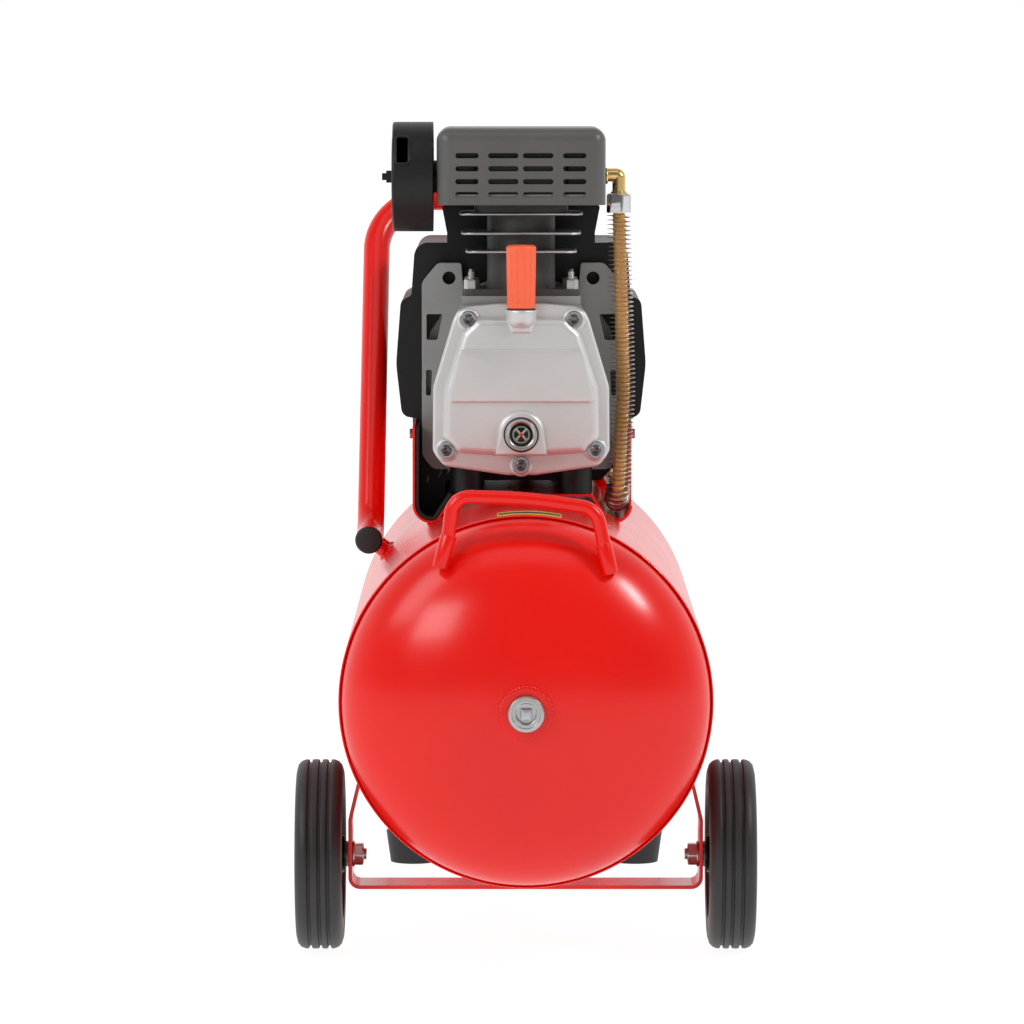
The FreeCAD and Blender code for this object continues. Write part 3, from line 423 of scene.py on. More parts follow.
def tank_ends():
    """Weld round each end boss, the plug in it and the square key in the plug."""
    for side, word in ((-1, "front"), (1, "rear")):
        weld_ring("boss_weld_" + word, (0, side * BOSS_Y, TANK_Z), "Y", 19.6, 2.2)
        plug = [(side * along, r) for along, r in PLUG_PROFILE]
        piece = place("plug_" + word, lathe("plug_" + word, plug, "Y", (0, 0, TANK_Z), turns=96), "zinc")
        if side < 0:
            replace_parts(piece, "end_plugs")
        half = PLUG_KEY_HALF
        square = [(-half, TANK_Z - half), (half, TANK_Z - half),
                  (half, TANK_Z + half), (-half, TANK_Z + half)]
        low, high = sorted((side * 383.2, side * 386.0))
        key = slab("plug_key_" + word, round_outline(square, 1.0, 4), low, high, 0.6, both=True)
        place("plug_key_" + word, key, "steel")


def sticker():
    """Blank label laid round the top of the tank behind the front seam."""
    def patch(name, x0, x1, y0, y1, lift, mat):
        """Sheet bent to the barrel between x0 and x1, lifted off it a little."""
        rings = []
        for j in range(9):
            y = y0 + (y1 - y0) * j / 8
            ring = []
            for k in range(25):
                turn = math.asin((x0 + (x1 - x0) * k / 24) / TANK_R)
                r = TANK_R + lift
                ring.append(Vector((r * math.sin(turn), y, TANK_Z + r * math.cos(turn))) * MM)
            rings.append(ring)
        return place(name, from_grid(name, rings, closed_ring=False), mat)

    yellow = finish("label_yellow", (0.78, 0.56, 0.02), 0.35, grain=500, bump=0.02, mottle=0.05)
    ink = finish("label_ink", (0.02, 0.02, 0.02), 0.4, grain=500, bump=0.02, mottle=0.05)
    patch("label", -23, 28.5, -297, -262, 0.12, yellow)
    patch("label_stripe", -22, 27.5, -286, -270, 0.2, ink)


def bail():
    """Bent rod handle on the near head, with a thicker foot and a weld bead at each end."""
    y = BAIL_Y
    points = [(-68.5, y - 2, 325.5), (-61.3, y, 351), (-57.8, y, 382), (0, y, 380.4), (55.5, y, 372.4),
              (61.5, y, 344), (67.2, y - 2, 320.5)]
    path = rounded_path(points, [0, 25, 15, 420, 17, 25, 0], 14)
    piece = place("bail", sweep("bail", path, 5.5, turns=40), "red_paint")
    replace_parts(piece, "bail_handle")
    ends = (("left", 4.4, points[0], points[1]), ("right", -4.4, points[6], points[5]))
    for word, inward, low, high in ends:
        low, high = Vector(low), Vector(high)
        post = [low, low.lerp(high, 0.04), low.lerp(high, 0.5), low.lerp(high, 0.94), high]
        place("bail_foot_" + word, sweep("bail_foot", post, [5.7, 6.1, 6.2, 6.1, 5.7], turns=40), "red_paint")
        bead = []
        thickness = []
        for k in range(13):
            bead.append(low.lerp(high, 0.1 + 0.07 * k) + Vector((inward, 6.5, 0)))
            thickness.append(2.4 + 0.5 * math.sin(2.3 * k))
        place("bail_weld_" + word, sweep("bail_weld", bead, thickness, turns=12), "red_paint")


# ---------------------------------------------------------------- wheels, bracket and feet

TYRE_PROFILE = [(148.9, 53), (148.9, 60), (149.7, 62.5), (148.7, 64), (148.7, 68.5), (150.2, 73.2),
                (152.6, 75.8), (155.2, 77.0), (157.4, 77.4), (158.4, 77.1), (158.8, 76.4), (159.0, 74.9),
                (161.0, 74.9), (161.2, 76.4), (161.6, 77.2), (163.9, 77.5), (165.7, 77.2), (166.1, 76.4),
                (166.3, 74.9), (168.2, 74.9), (168.4, 76.4), (168.8, 77.2), (171.6, 77.5), (174.0, 77.2),
                (174.3, 76.4), (174.5, 74.9), (176.5, 74.9), (176.7, 76.4), (177.1, 77.1), (178.4, 77.4),
                (180.4, 77.0), (183.2, 75.8), (185.6, 73.2), (186.8, 68.5), (186.8, 64), (185.9, 62.5),
                (186.7, 60), (186.7, 53), (184.0, 51.5), (151.6, 51.5)]
RIM_PROFILE = [(151.6, 51.6), (151.6, 46.5), (152.6, 45.2), (154.0, 45.0), (159.5, 43.5), (161.5, 40),
               (162.0, 22), (160.5, 17.5), (149.0, 15.0), (147.8, 14.0), (147.8, 5.06), (182.2, 5.06),
               (182.2, 14.0), (181.0, 15.0), (171.0, 17.5), (168.5, 22), (168.5, 40), (170.5, 43.5),
               (181.0, 45.0), (183.2, 45.4), (184.2, 46.6), (184.2, 51.6)]
BOX_FACES = ((0, 1, 3, 2), (4, 6, 7, 5), (0, 4, 5, 1), (2, 3, 7, 6), (0, 2, 6, 4), (1, 5, 7, 3))
RIB_COUNT = 10
RIB_INNER_R, RIB_INNER_HALF = 14.5, 1.6
RIB_OUTER_R, RIB_OUTER_HALF = 45.0, 1.1
RIB_ENDS = (((150.5, 162.2), (154.0, 162.2)), ((168.2, 180.5), (168.2, 179.0)))


def wheel_ribs(side, word):
    """Radial ribs on both faces of the rim's web; each leans in a little at its outer end."""
    for k in range(RIB_COUNT):
        turn = 2 * math.pi * k / RIB_COUNT
        c, s = math.cos(turn), math.sin(turn)
        for face, (inner_ends, outer_ends) in enumerate(RIB_ENDS):
            corners = []
            for inner, outer in zip(inner_ends, outer_ends):
                ends = ((inner, RIB_INNER_R, RIB_INNER_HALF), (outer, RIB_OUTER_R, RIB_OUTER_HALF))
                for along, r, half in ends:
                    for w in (-half, half):
                        y = AXLE_Y + r * c - w * s
                        z = AXLE_Z + r * s + w * c
                        corners.append(Vector((side * along, y, z)) * MM)
            mesh = bpy.data.meshes.new("rib")
            mesh.from_pydata(corners, [], BOX_FACES)
            place("rib_%s_%d_%d" % (word, k, face), mesh, "black_plastic", "wheel_" + word, smooth=0)


def wheels():
    """Grooved tyre, rim and ribs on each side."""
    centre = (0, AXLE_Y, AXLE_Z)
    for side, word in ((1, "right"), (-1, "left")):
        body = "wheel_" + word
        tyre = [(side * along, r) for along, r in TYRE_PROFILE]
        tread = lathe("tyre_skin_" + word, tyre, "X", centre, turns=180, closed=True)
        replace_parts(place("tyre_skin_" + word, tread, "tyre", body, smooth=50), "tyre_" + word)
        rim = [(side * along, r) for along, r in RIM_PROFILE]
        ring = lathe("rim_" + word, rim, "X", centre, turns=120, closed=True)
        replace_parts(place("rim_" + word, ring, "black_plastic", body, smooth=40), "hub_" + word)
        wheel_ribs(side, word)


def thread_end(name, x0, x1, side, r=4.9):
    """Threaded end of an axle bolt, from x0 to x1 outwards."""
    profile = [(side * x0, 0.01), (side * x0, r - 0.8)]
    pitch = 1.5
    x = x0
    while x < x1 - pitch:
        profile += [(side * (x + 0.4), r), (side * (x + 0.75), r), (side * (x + 1.1), r - 0.7),
                    (side * (x + pitch), r - 0.7)]
        x += pitch
    profile.append((side * x1, r))
    return lathe(name, profile, "X", (0, AXLE_Y, AXLE_Z), turns=40)


def axles():
    """Bolt head, nut, threaded end, shank and two washers on each side."""
    centre = (0, AXLE_Y, AXLE_Z)
    for side, word in ((1, "right"), (-1, "left")):
        outward = ((side, 0, 0), (0, 1, 0), (0, 0, side))
        head = hex_head("axle_head_" + word, 17, 6.4, (side * 182.5, AXLE_Y, AXLE_Z), outward, dimple=0.8)
        head = place("axle_head_" + word, head, "zinc")
        if side > 0:
            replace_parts(head, "wheel_axles")
        inward = ((-side, 0, 0), (0, 1, 0), (0, 0, -side))
        nut = hex_head("axle_nut_" + word, 17, 8.8, (side * 141.2, AXLE_Y, AXLE_Z), inward)
        place("axle_nut_" + word, nut, "zinc")
        place("axle_end_" + word, thread_end("axle_end_" + word, 130.0, 147, side), "zinc")
        shank = [(side * 146, 0.01), (side * 146, 5.0), (side * 182.6, 5.0), (side * 182.6, 0.01)]
        place("axle_shank_" + word, lathe("axle_shank_" + word, shank, "X", centre, turns=40), "zinc")
        for tag, x0, x1, r in (("inner", 139.8, 141.4, 10.5), ("outer", 144.6, 147.3, 10.5)):
            disc = [(side * x0, 5.1), (side * x0, r - 0.3), (side * (x0 + 0.3), r), (side * (x1 - 0.3), r),
                    (side * x1, r - 0.3), (side * x1, 5.1)]
            washer = lathe("washer", disc, "X", centre, turns=60, closed=True)
            place("axle_washer_%s_%s" % (tag, word), washer, "zinc")


# ---------------------------------------------------------------- crankcase

COVER_HALF = [(12, 384), (64, 391.5), (72.8, 404), (72.4, 457), (56, 512), (52.5, 519), (44, 523),
              (20, 525.5)]
COVER_RADII = [9, 12, 8, 14, 12, 6, 8, 30]
DOME_HALF = [(8, 399.5), (52, 402.5), (64.5, 416), (63.5, 456), (48.5, 502), (36, 514)]
DOME_RADII = [30, 10, 9, 14, 10, 9]
PANEL_HALF = [(60.5, 444.5), (51, 488)]
BROW_HALF = [(8.5, 501), (13, 513)]
COVER_BOLTS = ((-43.4, 512.2), (43.4, 512.2), (-61.5, 404.8), (61.5, 404.8), (0, 392.5))
SIGHT_Z = 418.4


def both_sides(half):
    """Outline about the pump's middle from the points of its right half, bottom to top."""
    return [(PUMP_X + x, z) for x, z in half] + [(PUMP_X - x, z) for x, z in reversed(half)]


def cast_slab(name, outline, front, back, chamfer, steps):
    return place(name, slab(name, outline, front, back, chamfer, steps), "cast_alu", smooth=60)


def crankcase_cover():
    """Flange, dome, plain panel, arch round the sight glass, bolt pads and the oil filler's neck."""
    outline = round_outline(both_sides(COVER_HALF), COVER_RADII + COVER_RADII[::-1], 6)
    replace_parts(cast_slab("cover_flange", outline, -145, -138.02, 2.6, 5), "crankcase_cover")
    dome = round_outline(both_sides(DOME_HALF), DOME_RADII + DOME_RADII[::-1], 6)
    cast_slab("cover_dome", dome, -155, -144.2, 7.0, 8)
    cast_slab("cover_panel", round_outline(both_sides(PANEL_HALF), 4, 6), -157.4, -150, 2.0, 5)
    top = arc_points(PUMP_X, SIGHT_Z, 20, 0, 180, 24)[1:]
    arch = [(PUMP_X - 21, 401), (PUMP_X + 21, 401), (PUMP_X + 20, SIGHT_Z)] + top
    cast_slab("cover_arch", round_outline(arch, 0, 3), -159.3, -150, 4.5, 7)
    pad = [(-138.2, 10.2), (-145.6, 9.6), (-147.0, 8.6), (-147.3, 7.0), (-147.3, 0.01)]
    for n, (x, z) in enumerate(COVER_BOLTS):
        mesh = lathe("pad", pad, "Y", (PUMP_X + x, 0, z), turns=48)
        place("bolt_pad_%d" % n, mesh, "cast_alu", smooth=50)
    neck = [(505.5, 5.0), (506.6, 8.6), (509.0, 11.2), (512.0, 12.4), (517.6, 12.6), (519.6, 12.9),
            (520.5, 12.4), (520.5, 8.1), (508, 8.1)]
    mesh = lathe("cover_neck", neck, "Z", (PUMP_X, PLUG_Y, 0), turns=72)
    place("cover_neck", mesh, "cast_alu", smooth=50)
    cast_slab("cover_brow", round_outline(both_sides(BROW_HALF), 3, 5), -156.5, -150, 3.0, 5)


def cap_screws():
    """Washer, socket head and hexagon socket of each cover bolt."""
    flange = finish("flange_steel", (0.36, 0.36, 0.37), 0.2, metal=1.0, grain=700, bump=0.05, mottle=0.1)
    dark = finish("dark_steel", (0.17, 0.17, 0.18), 0.25, metal=0.95, grain=700, bump=0.1, mottle=0.3)
    washer = [(-147.3, 3.0), (-147.3, 7.0), (-147.7, 7.3), (-148.3, 7.3), (-148.7, 6.9), (-148.7, 3.0)]
    cap = [(-148.6, 4.4), (-152.9, 4.4), (-153.4, 4.0), (-153.5, 3.2)]
    socket = [(-153.45, 2.9), (-153.2, 2.6), (-150.0, 2.5), (-149.4, 0.01)]
    lip = [(-153.5, 3.3), (-153.5, 2.9)]

    def hexed(along, r, turn):
        return 2.6 / math.cos((turn % (math.pi / 3)) - math.pi / 6) - 2.6 if r > 2 else 0.0

    for n, (x, z) in enumerate(COVER_BOLTS):
        c = (PUMP_X + x, 0, z)
        ring = place("washer_%d" % n, lathe("washer", washer, "Y", c, turns=60, closed=True), flange)
        if n == 0:
            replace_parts(ring, "cover_bolts")
        place("cap_%d" % n, lathe("cap", cap, "Y", c, turns=48), dark)
        place("socket_%d" % n, lathe("socket", socket, "Y", c, turns=60, wave=hexed), dark)
        place("lip_%d" % n, lathe("lip", lip, "Y", c, turns=60), dark)


def sight():
    """Oil sight glass: ring, seal, dark back, reflector hoop with four spokes, and a red dot."""
    c = (PUMP_X, 0, SIGHT_Z)
    ring = [(-159.3, 13.3), (-161.2, 13.3), (-161.9, 12.7), (-162.0, 11.4), (-161.5, 10.0), (-160.8, 9.5),
            (-157.4, 9.3)]
    piece = place("sight_ring", lathe("sight_ring", ring, "Y", c, turns=72), "zinc")
    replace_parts(piece, "sight_glass")
    seal = circle_points(-159.8, 13.7, 0.8, 10)
    place("sight_seal", lathe("sight_seal", seal, "Y", c, turns=72, closed=True), "rubber")
    green = finish("sight_green", (0.006, 0.012, 0.009), 0.2, grain=200, bump=0.02, mottle=0.3, specular=0.25)
    mirror = finish("reflector", (0.30, 0.34, 0.26), 0.3, metal=0.6, grain=500, bump=0.05, mottle=0.2)
    back = [(-159.4, 9.5), (-159.5, 9.0), (-159.5, 0.01)]
    place("sight_back", lathe("sight_back", back, "Y", c, turns=60), green)
    hoop = circle_points(-159.8, 6.6, 0.75, 8)
    place("sight_hoop", lathe("sight_hoop", hoop, "Y", c, turns=60, closed=True), mirror)
    hub = Vector((PUMP_X, -159.7, SIGHT_Z))
    for k in range(4):
        turn = math.radians(45 + 90 * k)
        way = Vector((math.cos(turn), 0, math.sin(turn)))
        spoke = sweep("spoke", [hub + way * 1.0, hub + way * 3.5, hub + way * 6.2], [1.3, 1.0, 1.6], turns=16)
        place("sight_spoke_%d" % k, spoke, mirror)
    dot = [(-161.2, 0.01), (-161.1, 1.2), (-160.6, 1.9), (-159.3, 1.9)]
    place("sight_dot", lathe("sight_dot", dot, "Y", c, turns=32), "red_plastic")


def oil_plug():
    """Fluted oil plug with its stem and seal, which lift out together."""
    c = (PUMP_X, PLUG_Y, 0)

    def flutes(along, r, turn):
        if 526 < along < 571 and r > 11:
            return -0.75 * (0.5 + 0.5 * math.cos(14 * turn)) ** 3
        return 0.0

    body = [(521.8, 8.0), (521.8, 11.0), (522.4, 11.6), (525.8, 11.7), (526.2, 11.7)]
    body += [(527 + 4.3 * k, 11.72 + 0.07 * k) for k in range(11)]
    body += [(571.2, 12.45), (572.4, 12.2), (573.4, 11.3), (573.8, 10.0), (573.8, 6.2), (573.2, 5.8),
             (573.2, 0.01)]
    skin = lathe("oil_cap_skin", body, "Z", c, turns=168, wave=flutes)
    piece = place("oil_cap_skin", skin, "orange_plastic", "oil_cap", smooth=40)
    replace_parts(piece, "oil_plug")
    stem = [(508.5, 0.01), (508.5, 7.4), (509.1, 8.0), (521.9, 8.0)]
    place("oil_cap_stem", lathe("oil_cap_stem", stem, "Z", c, turns=48), "orange_plastic", "oil_cap")
    seal = circle_points(521.2, 10.9, 0.75, 10)
    place("oil_cap_seal", lathe("oil_cap_seal", seal, "Z", c, turns=60, closed=True), "rubber", "oil_cap")


# ---------------------------------------------------------------- cylinder, air filter and discharge

FINS = ((50, 598.4), (48.5, 582.4), (45, 567.3))     # half width and height of each large fin's edge, where a painted highlight runs
FIN_HALF_DEPTH = 36
STUDS = ((-41, -122), (41, -122), (-41, -68), (41, -68))
UPRIGHT = ((0, 0, 1), (1, 0, 0), (0, 1, 0))


def fin_highlights():
    """Pale rims round the cylinder's large fins: a painted highlight along their edges."""
    # The pale rims are a painted highlight along the fin edges of the shiny black cylinder.
    glint_mat = finish("fin_painted_highlight", (0.55, 0.55, 0.54), 0.32, metal=0.9, grain=600, bump=0.1, mottle=0.2)
    y0, y1 = CYLINDER_Y - FIN_HALF_DEPTH, CYLINDER_Y + FIN_HALF_DEPTH
    for n, (half, z) in enumerate(FINS):
        left, right = PUMP_X - half, PUMP_X + half
        corners = [(PUMP_X, y0, z), (right, y0, z), (right, y1, z), (PUMP_X, y1, z), (left, y1, z),
                   (left, y0, z), (PUMP_X, y0, z)]
        path = rounded_path(corners, [0, 10, 10, 0, 10, 10, 0], 8)
        path = [p + Vector((0, 0, 0.12 * math.sin(k * 1.3))) for k, p in enumerate(path)]
        place("fin_edge_%d" % n, sweep("fin_highlight", path, 0.95, turns=10), glint_mat)


def cylinder_hardware():
    """Nut and threaded stud end at each corner of the cylinder's base."""
    stud = [(522, 3.0)]
    z = 544.0
    while z < 550.4:
        stud += [(z, 2.9), (z + 0.4, 2.9), (z + 0.6, 2.5), (z + 0.9, 2.5)]
        z += 1.0
    stud += [(551, 2.4), (551, 0.01)]
    for n, (x, y) in enumerate(STUDS):
        nut = place("base_nut_%d" % n, hex_head("nut", 11, 8, (PUMP_X + x, y, 536.6), UPRIGHT), "zinc")
        if n == 0:
            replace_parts(nut, "cylinder_nuts")
        place("base_stud_%d" % n, lathe("stud", stud, "Z", (PUMP_X + x, y, 0), turns=32), "zinc")


def strip(half, low, high):
    """Rectangle of (x, z) points about the pump's middle."""
    return [(PUMP_X - half, low), (PUMP_X + half, low), (PUMP_X + half, high), (PUMP_X - half, high)]


def head_painted_shade():
    """Dark sheet behind the cylinder head, painted shade that makes the inside of the head shroud read dark,
    and a pale flange edge; both show through the shroud's slots.
    """
    # The black sheet is painted shade, not a part: it darkens what the slots show of the shroud's inside.
    sheet = slab("head_painted_shade", strip(66, 606.8, 663), -45, -43.6, 0.3, both=True)
    place("head_painted_shade", sheet, "black_plastic")
    flange = slab("head_flange", strip(57, 612.4, 614.9), -136.6, -134.4, 0.4, both=True)
    place("head_flange", flange, MATS["plate_grey"])


def filter_trim():
    """Seam, bead and ridges of the air filter, and the lip round its mouth."""
    c = (0, HEAD_Y, FILTER_Z)
    for word, along in (("seam", -94.0), ("bead", -78.6)):
        ring = circle_points(along, 44.7, 0.6, 8)
        mesh = lathe("filter_" + word, ring, "X", c, turns=120, closed=True)
        place("filter_" + word, mesh, "black_plastic")
    for k in range(2):
        ridge = circle_points(-109.9, 20 + 12 * k, 0.7, 8)
        mesh = lathe("ridge", ridge, "X", c, turns=96, closed=True)
        place("filter_ridge_%d" % k, mesh, "black_plastic")

    def rim(x, z):
        return Vector((x, HEAD_Y - math.sqrt(FILTER_R ** 2 - (z - FILTER_Z) ** 2) - 0.1, z))

    mouth = [(-107, 640), (-96, 640), (-96, 662), (-107, 662)]
    loop = [rim(x, z) for x, z in round_outline(mouth, 2.5, 5)]
    loop.append(loop[0])
    smooth = []
    for a, b in zip(loop, loop[1:]):
        for k in range(4):
            smooth.append(rim(a.x + (b.x - a.x) * k / 4, a.z + (b.z - a.z) * k / 4))
    smooth.append(loop[-1])
    place("filter_mouth_lip", sweep("filter_mouth_lip", smooth, 1.1, turns=12), "black_plastic")


TUBE_R = 4.8
TUBE_STEP = 0.55         # spacing of the points along the tube
FIN_TOP_Z = 597
FIN_END_Y = -62


def tube_path():
    """Down beside the pump, back along the trough and up into the check valve."""
    points = [TUBE_TOP, (81.4, HEAD_Y, 452), (76.8, HEAD_Y, 359), (74, 178, 359), (74, 196, 372),
              (74, 201, 372)]
    return rounded_path(points, [0, 300, 15, 8, 3, 0], 16)


def walk(path, spacing):
    """Points at even steps along a path."""
    result = []
    carry = 0.0
    for a, b in zip(path, path[1:]):
        length = (b - a).length
        while carry < length:
            result.append(a.lerp(b, carry / length))
            carry += spacing
        carry -= length
    return result


def tube_core(line):
    """The tube itself, beaded where it carries fins; returns the last point with fins."""
    finned = 0
    radii = []
    length = 0.0
    for i, p in enumerate(line):
        if p.z < FIN_TOP_Z and p.y < FIN_END_Y:
            finned = i
            radii.append(5.3 + 0.35 * math.cos(2 * math.pi * length / FIN_PITCH))
        else:
            radii.append(TUBE_R)
        length += TUBE_STEP
    piece = place("tube_core", sweep("tube_core", line, radii, turns=28), "copper", smooth=60)
    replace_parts(piece, "discharge_tube")
    return finned


def tube_fins(line, finned):
    """One crimped strip wound round the tube as a helix."""
    frames = frames_along(line)
    start = next(i for i, p in enumerate(line) if p.z < FIN_TOP_Z)
    steps = 30
    turns = int((finned - start) * TUBE_STEP / FIN_PITCH)
    rings = []
    for k in range(turns * steps):
        turn = 2 * math.pi * k / steps
        at = start + (k / steps) * FIN_PITCH / TUBE_STEP
        i = min(len(line) - 2, int(at))
        p = line[i].lerp(line[i + 1], at - i)
        t, side, up = frames[i]
        way = side * math.cos(turn) + up * math.sin(turn)
        crimp = math.sin(turn * 13)
        ring = []
        for r, wave in ((5.1, 0.25), (7.2, 0.3), (8.8, 0.15), (10.3, 0.0)):
            ring.append((p + way * r + t * (wave * crimp)) * MM)
        rings.append(ring)
    mesh = from_grid("tube_fins", rings, closed_ring=False)
    piece = place("tube_fins", mesh, "finned_alu", smooth=50)
    thick = piece.modifiers.new("thick", "SOLIDIFY")
    thick.thickness = 0.0002
    thick.offset = 0
    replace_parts(piece, "discharge_fins")


def discharge():
    """Finned discharge tube and the nut at each end."""
    line = walk(tube_path(), TUBE_STEP)
    tube_fins(line, tube_core(line))
    chrome = finish("chrome", (0.75, 0.75, 0.77), 0.12, metal=1.0, grain=500, bump=0.03, mottle=0.05)
    c, s = math.cos(math.radians(-15)), math.sin(math.radians(-15))
    axis = ((0, 0, 1), (c, s, 0), (-s, c, 0))
    place("tube_nut", hex_head("tube_nut", 18.2, 16, (TUBE_TOP[0], HEAD_Y, 598.5), axis, crown=0.1), chrome)
    valve_axis = ((0, 1, 0), (1, 0, 0), (0, 0, -1))
    place("valve_nut", hex_head("valve_nut", 16, 9, (74, 193, 372), valve_axis, crown=0.08), chrome)


def elbow():
    """Brass elbow out of the cylinder head and down to the tube, with a collar at each end."""
    x = TUBE_TOP[0]
    corners = [(PUMP_X + 44, HEAD_Y, ELBOW_Z), (x, HEAD_Y, ELBOW_Z), (x, HEAD_Y, 607)]
    arm = sweep("elbow", rounded_path(corners, 2.2, 14), 5.5, turns=40)
    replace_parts(place("elbow", arm, "brass", smooth=50), "discharge_elbow")
    ring = [(70.0, 5.0), (70.0, 6.3), (70.5, 6.8), (71.5, 6.8), (72, 6.3), (72, 5.0)]
    collar = [(PUMP_X + along, r) for along, r in ring]
    place("elbow_collar", lathe("elbow_collar", collar, "X", (0, HEAD_Y, COLLAR_Z), turns=60), "brass")
    foot = [(613.6, 5.2), (613.8, 6.6), (614.6, 6.9), (616.0, 6.6), (616.6, 5.2)]
    place("elbow_foot", lathe("elbow_foot", foot, "Z", (x, HEAD_Y, 0), turns=60), "brass")


SADDLE_X = -2.4
# Ends (x0, z0, x1, z1) of the pale streaks along the lobe's slots, painted reflections in the dark trough.
SLOT_GLINTS = ((-72.7, 377.5, -70.5, 384), (-83.0, 372, -81.6, 379), (-91.0, 368, -88.9, 374.5),
              (-66, 380, -61.7, 389), (-86.5, 351.5, -85.6, 354))


def trough_painted_shade():
    """Dark strip of painted shade across the gap between the shroud lobe and the saddle, with pale streaks of
    painted reflection along the lobe's narrow slots.
    """
    x = SADDLE_X - 75.7
    z = 357.2
    outer = [(SADDLE_X - 88.9, 420)] + arc_points(x, z, 13.1, 180, 270, 10)
    outer += [(SADDLE_X - 72.6, 344.1), (SADDLE_X - 58.4, 365.8)]
    inner = [(SADDLE_X - 61.2, 366.5), (SADDLE_X - 74.1, 346.9)] + arc_points(x, z, 10.3, 270, 180, 10)
    inner += [(SADDLE_X - 86.1, 420)]
    # The dark strip is painted shade for the deep gap between the shroud lobe and the saddle.
    rings = []
    for y in (-113.5, 148):
        rings.append([Vector((px, y, pz)) * MM for px, pz in outer + inner])
    place("trough_painted_shade", from_grid("trough_painted_shade", rings, caps=True), "rubber", smooth=0)
    # Pale streaks painted as reflections along the slots in the dark trough.
    pale = finish("slot_painted_reflection", (0.62, 0.6, 0.56), 0.35, metal=0.5, grain=500, bump=0.05, mottle=0.2)
    widths = [0.25, 0.6, 0.75, 0.75, 0.75, 0.6, 0.25]
    for n, (x0, z0, x1, z1) in enumerate(SLOT_GLINTS):
        low, high = Vector((x0, -43.2, z0 - 3)), Vector((x1, -43.2, z1 - 3))
        points = [low.lerp(high, k / 6) for k in range(7)]
        place("slot_edge_%d" % n, sweep("slot_painted_reflection", points, widths, turns=12), pale)


# ---------------------------------------------------------------- pressure gauge

TICKS = 40
TICK_OUTER_R = 16.6


def gauge_ticks():
    """Scale of short bars round the dial, every fifth one longer."""
    x0, _, z0 = GAUGE
    verts, faces = [], []
    for k in range(TICKS):
        turn = 2 * math.pi * k / TICKS
        c, s = math.cos(turn), math.sin(turn)
        inner, half = (12.6, 0.36) if k % 5 == 0 else (14.6, 0.22)
        first = len(verts)
        for y in (281.4, 281.6):
            for r in (inner, TICK_OUTER_R):
                for w in (-half, half):
                    verts.append(Vector((x0 + r * s + w * c, y, z0 + r * c - w * s)) * MM)
        faces += [tuple(first + i for i in face) for face in BOX_FACES]
    mesh = bpy.data.meshes.new("gauge_ticks")
    mesh.from_pydata(verts, [], faces)
    place("gauge_ticks", mesh, finish("tick_black", (0.02, 0.02, 0.02), 0.5, bump=0.0), smooth=0)


def clear_material():
    clear = bpy.data.materials.new("clear_lens")
    clear.use_nodes = True
    shader = clear.node_tree.nodes["Principled BSDF"]
    shader.inputs["Base Color"].default_value = (1, 1, 1, 1)
    shader.inputs["Roughness"].default_value = 0.03
    shader.inputs["IOR"].default_value = 1.2
    shader.inputs["Transmission Weight"].default_value = 1.0
    return clear


def gauge():
    """Case, dial with ticks, post and clear lens round the moving needle."""
    case = [(276, 0.01), (276, 19.6), (276.8, 20.8), (278, 21), (290.6, 21), (291.7, 20.6), (292, 19.6),
            (292, 18.2), (291.4, 17.6), (289.6, 17.5), (281.2, 18.9), (281.0, 0.01)]
    mesh = lathe("gauge_shell", case, "Y", GAUGE, turns=96)
    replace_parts(place("gauge_shell", mesh, "black_plastic", smooth=40), "gauge_case")
    white = finish("dial_white", (0.8, 0.8, 0.78), 0.4, grain=500, bump=0.02, mottle=0.03)
    dial = [(281.1, 18.7), (281.35, 18.7), (281.35, 0.01)]
    place("gauge_dial", lathe("gauge_dial", dial, "Y", GAUGE, turns=72), white)
    post = [(281.3, 1.0), (286.6, 1.0), (287.0, 0.6), (287.0, 0.01)]
    place("gauge_post", lathe("gauge_post", post, "Y", GAUGE, turns=24), "steel")
    gauge_ticks()
    lens = [(290.2, 0.01), (290.2, 17.3), (291.2, 17.3), (291.5, 16.8), (291.5, 0.01)]
    place("gauge_lens", lathe("gauge_lens", lens, "Y", GAUGE, turns=72), clear_material())


# ---------------------------------------------------------------- handle

HANDLE_R = 11.5
HANDLE_CAP = [(3.0, 0.01), (3.0, 9.4), (2.4, 10.9), (1.2, 11.6), (-0.1, 11.7), (-0.4, 11.4), (-0.4, 0.01)]


def push_handle():
    """Bent tube from its foot at the tank's left side up to the grip bar, with an end cap at each end."""
    bar_y, bar_z = HANDLE_BAR
    points = [(HANDLE_X, -10, HANDLE_FOOT_Z), (HANDLE_X, 52, HANDLE_FOOT_Z), (-129.8, bar_y, bar_z),
              (60, bar_y, bar_z)]
    path = rounded_path(points, [0, 45, 53, 0], 24)
    tube = sweep("push_handle", path, HANDLE_R, turns=56)
    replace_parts(place("push_handle", tube, "red_paint"), "main_handle")
    low = [(-10 - along, r) for along, r in HANDLE_CAP]
    mesh = lathe("cap", low, "Y", (HANDLE_X, 0, HANDLE_FOOT_Z), turns=64)
    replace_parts(place("handle_cap_low", mesh, "rubber"), "handle_plugs")
    high = [(60 + along, r) for along, r in HANDLE_CAP]
    place("handle_cap_high", lathe("cap", high, "X", (0, bar_y, bar_z), turns=64), "rubber")
    outward = Vector((HANDLE_X, 0, HANDLE_FOOT_Z - TANK_Z)).normalized()
    for n, y in enumerate((2.0, 34.0)):
        foot = Vector((0, y, TANK_Z)) + outward * (TANK_R + 0.2)
        line = [foot - outward * 1.5, foot, foot + outward * 1.6, foot + outward * 2.4]
        place("tab_weld_%d" % n, sweep("tab_weld", line, [9.0, 8.6, 7.2, 6.1], turns=40), "red_paint")


# ---------------------------------------------------------------- floor, light and camera

FLOOR_HALF = 30
FLOOR_GLOW = 0.94
WORLD_FRONT = 0.2
WORLD_BACK = 1.02
CEILING_DIM = -0.55
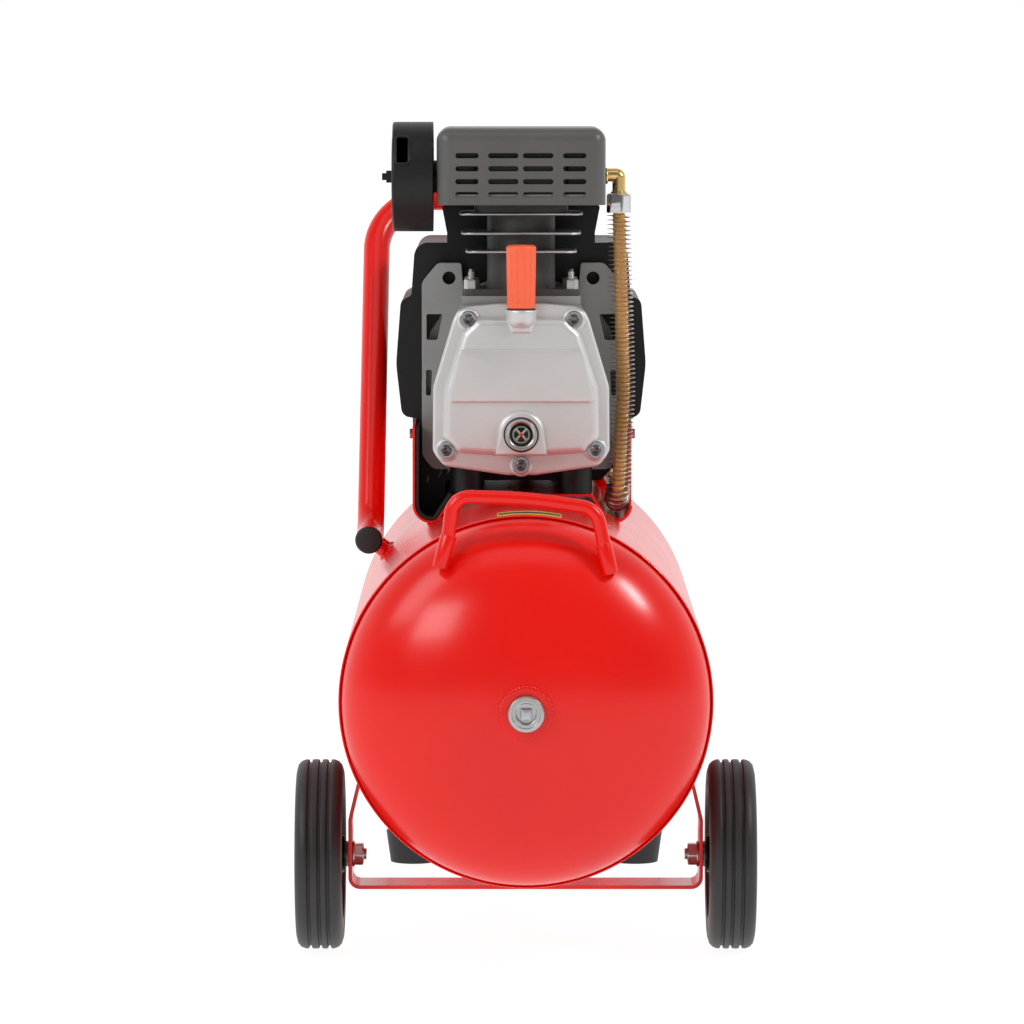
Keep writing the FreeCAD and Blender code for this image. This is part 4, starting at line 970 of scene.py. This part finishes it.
# Name, place, target, size and power of each lamp, in metres and watts.
SOFTBOXES = (("key_left", (-1.5, -0.9, 1.6), (0, -0.3, 0.35), (0.7, 1.0), 8),
             ("key_right", (1.5, -0.9, 1.6), (0, -0.3, 0.35), (0.26, 0.5), 15),
             ("top", (0, -0.9, 2.4), (0, 0, 0.3), (1.6, 1.0), 4),
             ("front", (-1.9, -2.5, 1.75), (0, 0, 0.4), (1.1, 0.9), 22))
CAMERA_PLACE = (-0.01113, -4.83494, 0.73724)
CAMERA_PITCH = 4.676     # degrees below level
CAMERA_LENS = 200.72


def pale_floor():
    mesh = bpy.data.meshes.new("floor")
    corners = [(-FLOOR_HALF, -FLOOR_HALF, 0), (FLOOR_HALF, -FLOOR_HALF, 0), (FLOOR_HALF, FLOOR_HALF, 0),
               (-FLOOR_HALF, FLOOR_HALF, 0)]
    mesh.from_pydata(corners, [], [(0, 1, 2, 3)])
    floor = bpy.data.objects.new("floor", mesh)
    bpy.context.collection.objects.link(floor)
    pale = finish("floor_paint", (0.13, 0.13, 0.13), 0.6, grain=40, bump=0.01, mottle=0.005, edge=0,
                  specular=0.1)
    shader = pale.node_tree.nodes["Principled BSDF"]
    shader.inputs["Emission Color"].default_value = (1, 1, 1, 1)
    shader.inputs["Emission Strength"].default_value = FLOOR_GLOW
    mesh.materials.append(pale)


def surroundings():
    """White light from behind the object that fades towards the front and the ceiling."""
    world = bpy.data.worlds.new("studio")
    bpy.context.scene.world = world
    world.use_nodes = True
    tree = world.node_tree
    back = tree.nodes["Background"]
    coords = tree.nodes.new("ShaderNodeTexCoord")
    split = tree.nodes.new("ShaderNodeSeparateXYZ")
    tree.links.new(coords.outputs["Generated"], split.inputs["Vector"])
    fade = tree.nodes.new("ShaderNodeMapRange")
    fade.inputs["From Min"].default_value = -0.6
    fade.inputs["From Max"].default_value = 0.6
    fade.inputs["To Min"].default_value = WORLD_FRONT
    fade.inputs["To Max"].default_value = WORLD_BACK
    tilt = tree.nodes.new("ShaderNodeMath")
    tilt.operation = "MULTIPLY_ADD"
    tilt.inputs[1].default_value = CEILING_DIM
    tree.links.new(split.outputs["Z"], tilt.inputs[0])
    tree.links.new(split.outputs["Y"], tilt.inputs[2])
    tree.links.new(tilt.outputs["Value"], fade.inputs["Value"])
    tree.links.new(fade.outputs["Result"], back.inputs["Strength"])
    back.inputs["Color"].default_value = (1, 1, 1, 1)


def softbox(name, spot, target, size, power):
    """Rectangular lamp at spot, turned to face target."""
    data = bpy.data.lights.new(name, "AREA")
    data.shape = "RECTANGLE"
    data.size, data.size_y = size
    data.energy = power
    lamp = bpy.data.objects.new(name, data)
    bpy.context.collection.objects.link(lamp)
    lamp.location = spot
    lamp.rotation_euler = (Vector(target) - Vector(spot)).to_track_quat("-Z", "Y").to_euler()


def studio():
    pale_floor()
    surroundings()
    for lamp in SOFTBOXES:
        softbox(*lamp)
    view = bpy.context.scene.view_settings
    view.view_transform = "Standard"
    view.look = "None"


def camera():
    data = bpy.data.cameras.new("camera")
    data.sensor_width = 36.0
    data.lens = CAMERA_LENS
    data.clip_end = 100
    cam = bpy.data.objects.new("camera", data)
    bpy.context.collection.objects.link(cam)
    cam.location = CAMERA_PLACE
    cam.rotation_euler = (math.pi / 2 - math.radians(CAMERA_PITCH), 0, 0)
    bpy.context.scene.camera = cam


tank()
tank_ends()
sticker()
bail()
wheels()
axles()
crankcase_cover()
cap_screws()
sight()
oil_plug()
fin_highlights()
cylinder_hardware()
head_painted_shade()
filter_trim()
discharge()
elbow()
trough_painted_shade()
gauge()
push_handle()
studio()
camera()
